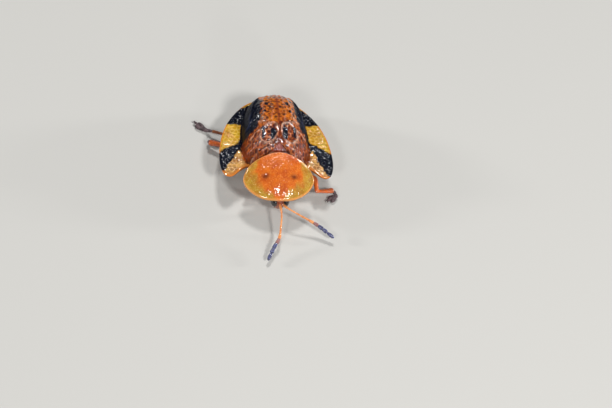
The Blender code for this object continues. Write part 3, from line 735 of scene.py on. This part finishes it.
def shield_bottom(x, y):
    out = np.hypot(x / SHIELD_HALF_WIDTH, (y - SHIELD_MIDDLE_Y) / SHIELD_HALF_LENGTH)
    inner = np.clip(1 - out**2, 0, 1)
    return shield_form(x, y) - (RIM_SHELL + SHIELD_THICKER * inner)


def venter(x, y):
    """Underside of the body: its plates with the seams between them, a keel and fine grain."""
    side_rise = 0.35 * (x / 1.8) ** 2
    rear_rise = 0.05 * np.clip(y - 3.9, 0, None) ** 2
    height = VENTER_Z + side_rise + rear_rise
    for seam in SEGMENT_SEAMS:
        bend = seam + 0.1 * (x / 1.5) ** 2
        height = height + 0.07 * hump(y - bend, SEAM_WIDTH)
        height = height - 0.03 * smooth(bend - 0.3, bend, y) * (y < bend)
    for line, depth in BREAST_SEAMS:
        height = height + depth * ridge(np.abs(x), y, line, SEAM_WIDTH)
    first, _, number = cells(x, y, 0.16, 71)
    dimples = 0.02 * smooth(0.3, 0.08, first) * number
    return height + dimples + 0.02 * blur_noise(x, y, 0.4, 72)


def under_shield(x, y):
    return shield_bottom(x, y) - 0.02


def under_wing(x, y):
    return wing_bottom(x, y) - 0.03


def belly(x, y):
    return np.minimum(venter(x, y), under_wing(x, y) - 0.1)


def new_object(name, material, verts, faces, attributes=None):
    """A named object from points in the beetle's millimetres, with optional numbers on its points."""
    points = np.asarray(verts, float) + (*PLACE, 0)
    data = bpy.data.meshes.new(name)
    data.from_pydata(list(map(tuple, points * MM)), [], [tuple(map(int, f)) for f in faces])
    for key, values in (attributes or {}).items():
        layer = data.attributes.new(key, "FLOAT", "POINT")
        layer.data.foreach_set("value", np.asarray(values, np.float32))
    data.validate()
    data.shade_smooth()
    data.materials.append(material)
    return link(bpy.data.objects.new(name, data))


def link(obj):
    bpy.context.scene.collection.objects.link(obj)
    return obj


def lattice(loop, pitch):
    """Points of a triangular grid inside a closed loop, a little clear of it."""
    corners = np.array(loop)
    low, high = corners.min(0), corners.max(0)
    rows = np.arange(low[1], high[1], pitch * ROW)
    columns = np.arange(low[0], high[0] + pitch, pitch)
    x, y = np.meshgrid(columns, rows)
    x = x + 0.5 * pitch * (np.arange(len(rows)) % 2)[:, None]
    x, y = x.ravel(), y.ravel()
    keep = inside_loop(x, y, loop) & (distance_to_line(x, y, [*loop, loop[0]]) > 0.45 * pitch)
    return np.stack([x[keep], y[keep]], 1)


def plate(name, material, loop, top, bottom, pitch, marks=None):
    """A closed slab over a plan outline, with the marks, functions of (x, y), as numbers on its points."""
    points = [Vector(p) for p in loop] + [Vector(p) for p in lattice(loop, pitch)]
    edges = [(i, (i + 1) % len(loop)) for i in range(len(loop))]
    found, _, faces, *_ = geometry.delaunay_2d_cdt(points, edges, [], 1, 1e-7)
    plan = np.array([tuple(v) for v in found])
    x, y = plan.T
    count = len(plan)
    upper = np.column_stack([x, y, top(x, y)])
    lower = np.column_stack([x, y, bottom(x, y)])
    faces = np.array([f for f in faces if len(f) == 3])
    sides = np.concatenate([faces[:, [0, 1]], faces[:, [1, 2]], faces[:, [2, 0]]])
    seen = {tuple(edge) for edge in sides.tolist()}
    walls = [(b, a, a + count, b + count) for a, b in seen if (b, a) not in seen]
    all_faces = [*faces.tolist(), *(faces[:, ::-1] + count).tolist(), *walls]
    values = {key: np.tile(mark(x, y), 2) for key, mark in (marks or {}).items()}
    return new_object(name, material, np.concatenate([upper, lower]), all_faces, values)


class Joined:
    """Closed shapes gathered into one mesh, with a number for each."""

    def __init__(self):
        self.verts = []
        self.faces = []
        self.marks = []

    def add(self, verts, faces, mark=0.0):
        start = len(self.verts)
        self.verts.extend(tuple(map(float, v)) for v in verts)
        self.faces.extend(tuple(start + i for i in face) for face in faces)
        self.marks.extend([mark] * len(verts))

    def object(self, name, material, mark=None):
        return new_object(name, material, self.verts, self.faces, {mark: self.marks} if mark else None)


def tube(path, widths, heights, sides=16, up=(0, 0, 1)):
    """Points and faces of a closed tube with oval sections, pointed where a size is 0."""
    path = [Vector(p) for p in path]
    verts, faces = [], []
    for i, at in enumerate(path):
        along = (path[min(i + 1, len(path) - 1)] - path[max(i - 1, 0)]).normalized()
        across = along.cross(Vector(up)).normalized()
        over = across.cross(along)
        for k in range(sides):
            turn = 2 * math.pi * k / sides
            verts.append(at + across * widths[i] * math.cos(turn) + over * heights[i] * math.sin(turn))
    for i in range(len(path) - 1):
        for k in range(sides):
            a, b = i * sides + k, i * sides + (k + 1) % sides
            faces.append((a, b, b + sides, a + sides))
    first, last = len(verts), len(verts) + 1
    verts += [path[0], path[-1]]
    end = (len(path) - 1) * sides
    for k in range(sides):
        faces.append((first, (k + 1) % sides, k))
        faces.append((last, end + k, end + (k + 1) % sides))
    return [tuple(v) for v in verts], faces


def distances_along(route):
    """Length along a line of Vectors from its first point, at each of its points."""
    return np.concatenate([[0], np.cumsum([(b - a).length for a, b in zip(route, route[1:])])])


def profile_tube(line, profile, sides=20, flat=1.0, bump=0.0, seed=0):
    """A tube along a smooth line. The profile lists (share of length, radius); flat scales its height."""
    route = [Vector(p) for p in curve_through(line, SMALL)]
    steps = distances_along(route)
    radii = interpolate(profile, steps / steps[-1])
    for to_end in (steps, steps[-1] - steps):
        radii = radii * np.sqrt(np.clip(1 - (1 - np.clip(to_end / ROUND_END, 0, 1)) ** 2, 0.02, 1))
    verts, faces = tube(route, radii, radii * flat, sides)
    if bump:
        count = len(route) * sides
        ring = np.arange(count) % sides / sides * 2 * math.pi * np.mean(radii)
        rough = bump * blur_noise(ring, np.repeat(steps, sides), 0.05, seed)
        for i in range(count):
            out = Vector(verts[i]) - route[i // sides]
            if out.length > 1e-6:
                verts[i] = tuple(Vector(verts[i]) + out.normalized() * float(rough[i]))
    return verts, faces


def ball(centre, radii, columns=32, rows=20, shape=None):
    """Points and faces of an ellipsoid, its points moved by shape(direction) if given."""
    verts, faces = [], []
    for j in range(rows + 1):
        tilt = math.pi * j / rows
        for i in range(columns):
            turn = 2 * math.pi * i / columns
            way = Vector((math.sin(tilt) * math.cos(turn), math.sin(tilt) * math.sin(turn), math.cos(tilt)))
            size = shape(way) if shape else 1.0
            verts.append(tuple(centre[k] + radii[k] * way[k] * size for k in range(3)))
    for j in range(rows):
        for i in range(columns):
            a, b = j * columns + i, j * columns + (i + 1) % columns
            faces.append((a, a + columns, b + columns, b))
    return verts, faces


def hair(root, way, kind, rng):
    """A thin cone of three sides, of a random length within its kind. A kind of one length draws none."""
    root, way = Vector(root), Vector(way).normalized()
    shortest, longest, thick = kind
    length = rng.uniform(shortest, longest) if longest > shortest else longest
    sizes = (thick, thick * 0.7, thick * 0.1)
    path = [root, root + way * length * 0.55, root + way * length]
    return tube(path, sizes, sizes, 3, HAIR_UP)


def sideways(along, rng):
    """A random direction square to the given one."""
    return along.cross(Vector(rng.normal(size=3))).normalized()


def above(floor, verts, faces):
    """A shape with what is below the floor pressed up to it."""
    return [(x, y, max(z, floor)) for x, y, z in verts], faces


def outline_of_wing(side):
    edge = line_through([*WING_OUTLINE, (SEAM, WING_REAR_Y)], FINE)
    inner = [(SEAM, float(y)) for y in np.arange(WING_REAR_Y - FINE, WING_CORNER_Y, -FINE)]
    corner = line_through([(SEAM, WING_CORNER_Y), WING_CORNER, WING_OUTLINE[0]], FINE)
    return [(side * x, y) for x, y in edge + inner + corner[:-1]]


def wing_cover(name, side):
    marks = {
        "black": wing_black,
        "disc": dome_coloured,
        "pit": pit_mark,
        "net": net_mark,
        # crest: where a highlight is painted along the tops of the ridges and rings
        "crest": crest_painted_highlight,
        "edge": edge_mark,
        "dull": dull,
        "front": lambda x, y: smooth(2.3, 1.5, y + 0.25 * blur_noise(x, y, 0.5, 81)),
        "lobe": lambda x, y: smooth(1.9, 1.2, y + 0.2 * np.abs(x) - 0.5),
        # foot: painted shade in the hollow at the foot of the dome in front
        "foot": lambda x, y: smooth(0.5, 0.05, np.abs(x) - disc_half_width(y)) * smooth(1.0, 0.4, y),
        "suture": lambda x, y: smooth(0.16, 0.02, np.abs(x)),
    }
    return plate(name, wing_material(), outline_of_wing(side), wing_top, wing_bottom, FINE, marks)


def pronotum():
    right = line_through(SHIELD_OUTLINE, FINE)
    left = [(-x, y) for x, y in reversed(right[1:-1])]
    marks = {
        "clear": shield_clear,
        "pit": lambda x, y: pits(x, y)[0],
        "net": lambda x, y: pits(x, y)[1],
        "spot": lambda x, y: paired(x, y, SHIELD_SPOTS, (0.24, 0.15)),
        # edge: the rim, lighter partly in its own colour and partly as a painted highlight
        "edge": lambda x, y: smooth(0.1, 0.03, distance_to_line(np.abs(x), y, SHIELD_EDGE)),
    }
    return plate("pronotum_fine", shield_material(), right + left, shield_top, shield_bottom, FINE, marks)


def scutellum():
    """The small triangle between the roots of the wing covers, with a keel and pits."""
    base, tip = SCUTELLUM_BASE, (0.0, SCUTELLUM_TIP)
    other = (-base[0], base[1])
    out, middle = SCUTELLUM_SIDE
    sides = ((other, (0.0, base[1] - 0.04), base), (base, (out, middle), tip), (tip, (-out, middle), other))
    loop = [point for side in sides for point in line_through(side, FINE)[:-1]]

    def top(x, y):
        first, _, number = cells(x, y, 0.12, 64)
        keel = 0.05 * hump(np.abs(x) - 0.16, 0.06)
        return interpolate(CREST, y) - 0.02 + keel - 0.04 * smooth(0.35, 0.1, first) * number

    def bottom(x, y):
        return interpolate(CREST, y) - SCUTELLUM_DEPTH

    return plate("scutellum_fine", limb_material(*SCUTELLUM_HORN), loop, top, bottom, FINE)


def body_loop(first, last):
    """Plan of the body under the wing covers, rounded off at its end."""
    ys = np.linspace(first, last, 60)
    narrowing = np.clip((ys - ROUND_FROM_Y) / (ABDOMEN_END_Y + 0.1 - ROUND_FROM_Y), 0, 1)
    half_widths = (rim_start(ys) - BODY_INSET) * np.sqrt(1 - narrowing**2)
    right = list(zip(half_widths.tolist(), ys.tolist()))
    return right + [(-x, y) for x, y in reversed(right)]


def chest_loop():
    """Plan of the prothorax, broad and nearly square behind."""
    turns = 2 * math.pi * np.arange(120) / 120
    across, along = np.cos(turns), np.sin(turns)
    x = CHEST_HALF[0] * np.sign(across) * np.abs(across) ** CHEST_SQUARENESS
    y = CHEST_MIDDLE_Y + CHEST_HALF[1] * np.sign(along) * np.abs(along) ** CHEST_SQUARENESS
    return list(zip(x.tolist(), y.tolist()))


def under_piece(name, loop, top, bottom):
    return plate(name, underside_material(), loop, top, bottom, UNDERSIDE_PITCH)


def coxa(name, hip):
    """The hip of a leg: a large ball set in the breast and a small one at the thigh."""
    x, y, _ = hip
    joined = Joined()
    for inward, drop, radii, columns, rows in COXA_BALLS:
        joined.add(*ball((x - math.copysign(inward, x), y, VENTER_Z - drop), radii, columns, rows))
    return joined.object(name, limb_material(*LIMB))


def head():
    x, y, z = HEAD_AT
    joined = Joined()

    def add(place, radii, columns, rows, side=1):
        joined.add(*ball((x + side * place[0], y + place[1], z + place[2]), radii, columns, rows))

    joined.add(*ball(HEAD_AT, HEAD_RADII, 48, 30, lambda w: 1 + 0.05 * math.cos(3 * w.x)))
    for part in FACE:
        add(*part)
    for side in (1, -1):
        for part in FACE_PAIRS:
            add(*part, side)
        for down, size in PALP:
            place = (0.22 + 0.3 * down, 0.5 * down - 0.08, -0.58 - down)
            add(place, (size, size, size * 1.2), 14, 10, side)
    joined.add(*tube([(x, y + 0.1, z), (x, y + 0.8, z - 0.02)], (0.42, 0.5), (0.4, 0.42), 32))
    return joined.object("head_fine", limb_material(*HEAD_HORN))


def eye(name, side):
    centre = [middle + way for middle, way in zip(HEAD_AT, (side * EYE_AT[0], *EYE_AT[1:]))]
    return new_object(name, eye_material(), *ball(centre, EYE_RADII, 72, 48))


def feeler(name, route):
    """Eleven segments, each waisted at its root and widest near its end, with fine down on the last ones."""
    line = [Vector(p) for p in curve_through(route, SMALL)]
    steps = distances_along(line)
    scale = steps[-1] / sum(length for length, _ in FEELER_SEGMENTS)
    shares = np.linspace(0, 1, 14)
    rng = np.random.default_rng(FEELER_SEED)

    def at(distance):
        return Vector([float(np.interp(distance, steps, [p[k] for p in line])) for k in range(3)])

    joined = Joined()
    begin = 0.0
    for index, (length, radius) in enumerate(FEELER_SEGMENTS):
        length *= scale
        dark = float(smooth(6.4, 7.4, index))
        is_last = index == len(FEELER_SEGMENTS) - 1
        swell = interpolate(LAST_SEGMENT_PROFILE if is_last else SEGMENT_PROFILE, shares)
        path = [at(begin + length * (0.01 + 0.98 * s)) for s in shares]
        joined.add(*tube(path, radius * swell, radius * swell, 20), dark)
        for _ in range(DOWN_HAIRS if index >= DOWNY_FROM else BARE_HAIRS):
            s = rng.uniform(0.15, 0.95)
            here = at(begin + length * s)
            ahead = (at(begin + length * s + 0.05) - here).normalized()
            out = sideways(ahead, rng)
            root = here + out * radius * 0.9 * float(np.interp(s, shares, swell))
            joined.add(*hair(root, ahead * 1.1 + out * 0.7, FEELER_HAIR, rng), dark)
        begin += length
    return joined.object(name, feeler_material(), "dark")


def femur(name, line):
    return new_object(name, limb_material(*LIMB), *profile_tube(line, THIGH_PROFILE, 24, 0.9, 0.004, 91))


def tibia(name, knee, ankle, stout):
    knee, ankle = Vector(knee), Vector(ankle)
    profile = [(share, radius * stout) for share, radius in SHIN_PROFILE]
    middle = (knee + ankle) / 2 + (ankle - knee).cross(UP).normalized() * SHIN_BOW
    joined = Joined()
    joined.add(*profile_tube([knee, middle, ankle], profile, 24, 0.85, 0.004, 92))
    joined.add(*ball(knee, KNEE_RADII, 24, 16))
    rng = np.random.default_rng(SHIN_SEED)
    along = (ankle - knee).normalized()
    for _ in range(SHIN_HAIRS):
        s = rng.uniform(0.55, 0.97)
        out = sideways(along, rng)
        joined.add(*hair(knee.lerp(ankle, s) + out * SHIN_ROOTS, along + out * 0.5, SHIN_HAIR, rng))
    # The hind right shin takes the darker horn, which is painted shade
    return joined.object(name, limb_material(*(PAINTED_SHADE_LIMB if name == PAINTED_SHADE_SHIN else LIMB)))


def tarsus(name, ankle, line):
    """The foot: two short joints, a two-lobed one with a brush under it, the claw joint and its claws."""
    route = [Vector(p) for p in curve_through([Vector(ankle), *map(Vector, line)], SMALL)]
    count = len(route) - 1
    rng = np.random.default_rng(FOOT_SEED)
    joined = Joined()

    def at(share):
        spot = min(share, 1.0) * count
        i = min(int(spot), count - 1)
        return route[i].lerp(route[i + 1], spot - i)

    for start, end, wide, high in FOOT_JOINTS:
        shares = np.linspace(0, 1, 12)
        swell = interpolate(JOINT_PROFILE, shares)
        path = [at(start + (end - start) * s) for s in shares]
        joined.add(*above(SOLE, *tube(path, wide * swell, high * swell, 20)))
    start, end = (at(share) for share in LOBES_SPAN)
    ahead = (end - start).normalized()
    across = ahead.cross(UP).normalized()
    for side in (1, -1):
        path = [start.lerp(end, s) + across * side * out for s, out in LOBE_LINE]
        joined.add(*above(SOLE, *profile_tube(path, LOBE_PROFILE, 20, 0.85)))
        for _ in range(SOLE_HAIRS):
            s = rng.uniform(0.15, 1.0)
            root = start.lerp(end, s) + across * (side * 0.14 * s + rng.uniform(-0.09, 0.09))
            root.z = BRUSH_Z
            joined.add(*hair(root, (rng.uniform(-0.4, 0.4), rng.uniform(-0.4, 0.4), -1), BRUSH_HAIR, rng))
    path = [at(s) + UP * CLAW_JOINT_RISE for s in np.linspace(*CLAW_JOINT_SPAN, 10)]
    size = interpolate(CLAW_JOINT_PROFILE, np.linspace(0, 1, 10))
    joined.add(*tube(path, size, size, 16))
    for side in (1, -1):
        bend = [path[-1] + ahead * way + across * side * out + UP * rise for way, out, rise in CLAW_LINE]
        joined.add(*above(CLAW_SOLE, *profile_tube(bend, CLAW_PROFILE, 12)))
    for _ in range(BACK_HAIRS):
        s = rng.uniform(0.05, 0.85)
        out = (across * rng.uniform(-1, 1) + UP * 0.9).normalized()
        joined.add(*hair(at(s) + out * BACK_ROOTS, ahead + out * 0.5, BACK_HAIR, rng))
    return joined.object(name, foot_material())


def srgb(red, green, blue):
    """A colour given as it looks on screen, 0 to 255, as the linear one that shaders take."""
    def linear(v):
        v /= 255
        return v / 12.92 if v <= 0.04045 else ((v + 0.055) / 1.055) ** 2.4

    return (linear(red), linear(green), linear(blue), 1.0)


class Shader:
    """A Principled material and short ways to add nodes to it. Colours go in as (red, green, blue)."""

    def __init__(self, name):
        self.material = bpy.data.materials.new(name)
        self.material.use_nodes = True
        self.tree = self.material.node_tree
        self.body = self.tree.nodes["Principled BSDF"]
        self.space = self.node("ShaderNodeTexCoord").outputs["Object"]

    def node(self, kind, settings=None, **inputs):
        made = self.tree.nodes.new(kind)
        for key, value in (settings or {}).items():
            setattr(made, key, value)
        for key, value in inputs.items():
            self.put(made.inputs[key.replace("_", " ")], value)
        return made

    def put(self, socket, value):
        if isinstance(value, bpy.types.NodeSocket):
            self.tree.links.new(value, socket)
        else:
            socket.default_value = value

    def set(self, **inputs):
        for key, value in inputs.items():
            self.put(self.body.inputs[key.replace("_", " ")], value)

    def attribute(self, name):
        return self.node("ShaderNodeAttribute", {"attribute_name": name}).outputs["Fac"]

    def mix(self, factor, first, second):
        """The first colour where the factor is 0 and the second where it is 1."""
        made = self.node("ShaderNodeMix", {"data_type": "RGBA"})
        for index, value in ((0, factor), (6, first), (7, second)):
            self.put(made.inputs[index], srgb(*value) if isinstance(value, tuple) else value)
        return made.outputs[2]

    def mottled(self, noise, one, other, low=0.35, high=0.65):
        """A colour that wanders between two with a noise."""
        return self.mix(self.span(noise, low, high), one, other)

    def tint(self, colour, *layers):
        """A colour turned into others, one after the other, each as (mark, share of the mark, colour)."""
        for mark, share, other in layers:
            colour = self.mix(self.math("MULTIPLY", mark, share), colour, other)
        return colour

    def math(self, operation, first, second):
        made = self.node("ShaderNodeMath", {"operation": operation})
        self.put(made.inputs[0], first)
        self.put(made.inputs[1], second)
        return made.outputs[0]

    def span(self, value, low, high, to_low=0.0, to_high=1.0):
        made = self.node("ShaderNodeMapRange")
        for index, number in enumerate((value, low, high, to_low, to_high)):
            self.put(made.inputs[index], number)
        return made.outputs[0]

    def noise(self, size, detail=3.0):
        """Noise with features about size mm across, 0 to 1."""
        made = self.node("ShaderNodeTexNoise", Vector=self.space, Scale=1 / (size * MM), Detail=detail)
        return made.outputs["Fac"]

    def bump(self, height, depth):
        """Bumps whose full height is depth mm."""
        made = self.node("ShaderNodeBump", Height=height, Distance=depth * MM, Strength=1.0)
        self.set(Normal=made.outputs["Normal"])

    def wet(self, roughness, coat=1.0, coat_roughness=0.04):
        """The wet gloss of beetle horn."""
        self.set(Coat_Weight=coat, Coat_Roughness=coat_roughness, Coat_IOR=1.7, IOR=1.5, Roughness=roughness)

    def glow(self, weight, reach):
        """Light that goes a little way into the horn, farther for some colours."""
        self.set(Subsurface_Weight=weight, Subsurface_Radius=reach, Subsurface_Scale=GLOW_DEPTH * MM)


@cache
def wing_material():
    s = Shader("wing_cover_horn")
    marks = ("black", "pit", "net", "crest", "front", "foot", "lobe")
    black, pit, net, crest, front, foot, on_lobe = (s.attribute(mark) for mark in marks)
    cloud, grain = s.noise(0.5), s.noise(0.06, 4.0)
    amber = s.mottled(cloud, (204, 112, 10), (156, 66, 8))
    russet = s.mottled(cloud, (140, 54, 14), (90, 30, 8))
    back = s.tint(
        s.mix(front, amber, russet),
        (net, 0.45, (236, 130, 44)),
        (pit, 0.85, (54, 18, 8)),
        # Painted highlight: the tops of the ridges and rings lightened to pale pink
        (crest, 0.42, (252, 206, 172)),
        (s.span(s.noise(0.22, 4.0), 0.5, 0.62), 0.75, (76, 28, 12)),
        (s.attribute("suture"), 0.6, (128, 44, 14)),
    )
    clear = s.mottled(s.noise(0.9), (204, 160, 28), (180, 124, 18))
    clear = s.tint(clear, (net, 0.4, (250, 212, 124)), (pit, 0.2, (160, 96, 14)))
    lobe = s.mottled(cloud, (200, 152, 82), (146, 98, 50), 0.4, 0.6)
    # Painted shade: the rim turns dark red-brown in the hollow at the foot of the dome in front
    lobe = s.tint(lobe, (net, 0.5, (244, 192, 126)), (foot, 0.75, (122, 50, 18)))
    rim = s.mix(s.attribute("edge"), s.mix(on_lobe, clear, lobe), (204, 120, 40))
    ink = s.mottled(grain, (3, 4, 10), (9, 13, 30), 0.4, 0.7)
    # Painted highlight: in the black, the tops of the ridges and rings lightened to slate blue
    ink = s.tint(ink, (net, 0.5, (24, 30, 52)), (crest, 0.3, (50, 62, 100)))
    colour = s.mix(s.attribute("disc"), rim, back)
    s.set(Base_Color=s.mix(black, colour, ink), Specular_IOR_Level=0.03)
    s.wet(0.5, s.span(s.attribute("dull"), 0.0, 1.0, 1.0, 0.08))
    s.glow(s.math("MULTIPLY", s.math("SUBTRACT", 1.0, black), 0.25), (0.9, 0.45, 0.12))
    s.bump(grain, 0.004)
    return s.material


@cache
def shield_material():
    s = Shader("pronotum_horn")
    cloud, edge = s.noise(0.45), s.attribute("edge")
    orange = s.mottled(cloud, (210, 104, 16), (182, 76, 12))
    orange = s.mix(s.span(s.noise(0.09, 2.0), 0.5, 0.8), orange, (228, 138, 60))
    amber = s.tint(
        s.mottled(cloud, (180, 138, 36), (164, 108, 26)),
        (s.attribute("net"), 0.1, (240, 200, 110)),
        (s.attribute("pit"), 0.08, (150, 90, 20)),
        (s.span(s.noise(0.12, 3.0), 0.5, 0.65), 0.4, (150, 112, 26)),
        (s.span(s.noise(0.07, 2.0), 0.55, 0.7), 0.5, (222, 194, 118)),
    )
    colour = s.mix(s.attribute("clear"), orange, amber)
    # Along the edge the horn turns lighter orange: partly its own rim colour, partly a painted highlight
    colour = s.tint(colour, (s.attribute("spot"), 0.85, (84, 26, 12)), (edge, 0.6, (244, 160, 84)))
    s.set(Base_Color=colour, Specular_IOR_Level=0.12)
    s.wet(0.5, s.span(edge, 0.0, 1.0, 0.6, 1.0), 0.09)
    s.glow(0.2, (0.9, 0.45, 0.15))
    s.bump(s.noise(0.05, 4.0), 0.006)
    return s.material


@cache
def limb_material(name, light, dark):
    s = Shader(name)
    s.set(Base_Color=s.mottled(s.noise(0.4), light, dark))
    s.wet(0.3, 0.6)
    s.glow(0.25, (0.8, 0.35, 0.12))
    s.bump(s.noise(0.04, 4.0), 0.005)
    return s.material


@cache
def underside_material():
    s = Shader("underside_horn")
    s.set(Base_Color=s.mottled(s.noise(0.6), (150, 82, 34), (78, 38, 20)))
    s.wet(0.35, 0.5)
    s.bump(s.noise(0.06, 4.0), 0.01)
    return s.material


@cache
def foot_material():
    s = Shader("foot_down")
    s.set(Base_Color=s.mottled(s.noise(0.2), (96, 74, 76), (44, 30, 32)), Roughness=0.5)
    s.set(Sheen_Weight=0.4, Sheen_Roughness=0.4, Sheen_Tint=srgb(190, 170, 190))
    s.bump(s.noise(0.03, 4.0), 0.006)
    return s.material


@cache
def feeler_material():
    s = Shader("feeler_horn")
    orange = s.mottled(s.noise(0.25), (236, 160, 92), (214, 124, 62))
    slate = s.mottled(s.noise(0.1), (84, 90, 136), (46, 42, 70))
    s.set(Base_Color=s.mix(s.attribute("dark"), orange, slate), Roughness=0.38)
    s.set(Coat_Weight=0.6, Coat_Roughness=0.12, Sheen_Weight=0.3, Sheen_Roughness=0.4)
    s.bump(s.noise(0.03, 4.0), 0.005)
    return s.material


@cache
def eye_material():
    s = Shader("eye_facets")
    facets = s.node("ShaderNodeTexVoronoi", Vector=s.space, Scale=1 / (EYE_FACET * MM), Randomness=0.15)
    s.set(Base_Color=srgb(2, 2, 4), Specular_IOR_Level=0.1)
    s.wet(0.4)
    s.bump(facets.outputs["Distance"], -0.002)
    return s.material


def floor_material():
    s = Shader("studio_floor")
    s.set(Base_Color=srgb(192, 190, 185), Roughness=0.75)
    return s.material


def show(piece, slot, *nodes):
    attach(piece, "root")
    if nodes:
        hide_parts(*nodes)


def beetle():
    for side, sign in (("left", 1), ("right", -1)):
        show(wing_cover(f"wing_cover_{side}", sign), "wing_cover", f"elytron_{side}")
        show(eye(f"eye_{side}_fine", sign), "eye", f"eye_{side}")
        show(feeler(f"feeler_{side}", FEELERS[side]), "feeler", f"antenna_{side}")
    show(scutellum(), "wing_cover", "scutellum")
    show(pronotum(), "shield", "pronotum")
    waist, end = body_loop(-0.03, WAIST_Y + 0.01), body_loop(WAIST_Y, ABDOMEN_END_Y)
    show(under_piece("prothorax_fine", chest_loop(), under_shield, venter), "underside", "prothorax")
    show(under_piece("thorax_fine", waist, under_wing, belly), "underside", "thorax")
    show(under_piece("abdomen_fine", end, under_wing, belly), "underside", "abdomen")
    show(head(), "limb", "head")
    for name, (thigh, ankle, foot) in LEGS.items():
        show(coxa(f"coxa_{name}", thigh[0]), "limb")
        show(femur(f"thigh_{name}", thigh), "limb", f"femur_{name}")
        show(tibia(f"shin_{name}", thigh[-1], ankle, STOUT.get(name, 1.0)), "limb", f"tibia_{name}")
        show(tarsus(f"foot_{name}", ankle, foot), "foot", f"tarsus_{name}")


def camera():
    """A camera whose axis passes through the aim point, turned about it by the roll."""
    a, e, r = (math.radians(v) for v in (CAMERA_AZIMUTH, CAMERA_ELEVATION, CAMERA_ROLL))
    back = Vector((math.sin(a) * math.cos(e), -math.cos(a) * math.cos(e), math.sin(e)))
    right = Vector((math.cos(a), math.sin(a), 0))
    up = back.cross(right)
    turned = right * math.cos(r) + up * math.sin(r)
    upright = up * math.cos(r) - right * math.sin(r)
    aim = Vector(CAMERA_AIM) + Vector((*PLACE, 0))
    data = bpy.data.cameras.new("photo_camera")
    data.lens = CAMERA_LENS
    data.sensor_width = SENSOR_WIDTH
    data.clip_start = CLIP_START * MM
    obj = link(bpy.data.objects.new("photo_camera", data))
    turn = Matrix((turned, upright, back)).transposed().to_4x4()
    obj.matrix_world = Matrix.Translation((aim + back * CAMERA_DISTANCE) * MM) @ turn
    bpy.context.scene.camera = obj


def softbox(name, place, side, power):
    """A square light at a place in mm, facing the beetle."""
    data = bpy.data.lights.new(name, "AREA")
    data.shape = "SQUARE"
    data.size = side * MM
    data.energy = power
    way = Vector(place) - Vector(LIT_AT)
    turn = way.to_track_quat("Z", "Y").to_matrix().to_4x4()
    link(bpy.data.objects.new(name, data)).matrix_world = Matrix.Translation(Vector(place) * MM) @ turn


def studio():
    for number, light in enumerate(SOFTBOXES):
        softbox(f"softbox_{number}", *light)
    world = bpy.data.worlds.new("studio")
    world.use_nodes = True
    sky = world.node_tree.nodes["Background"]
    sky.inputs["Color"].default_value = SKY
    sky.inputs["Strength"].default_value = SKY_STRENGTH
    bpy.context.scene.world = world
    bpy.context.scene.view_settings.view_transform = "Standard"
    mesh = bpy.data.meshes.new("floor")
    half = FLOOR_HALF * MM
    corners = [(x * half, y * half, 0) for x, y in ((-1, -1), (1, -1), (1, 1), (-1, 1))]
    mesh.from_pydata(corners, [], [(0, 1, 2, 3)])
    mesh.materials.append(floor_material())
    link(bpy.data.objects.new("floor", mesh))


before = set(bpy.data.objects)
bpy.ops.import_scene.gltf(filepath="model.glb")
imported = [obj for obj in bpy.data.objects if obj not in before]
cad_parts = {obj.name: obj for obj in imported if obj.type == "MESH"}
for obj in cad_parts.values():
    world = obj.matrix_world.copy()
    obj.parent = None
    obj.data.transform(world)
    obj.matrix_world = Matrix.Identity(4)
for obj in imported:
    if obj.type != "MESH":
        bpy.data.objects.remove(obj)
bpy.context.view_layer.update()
camera()
studio()
beetle()
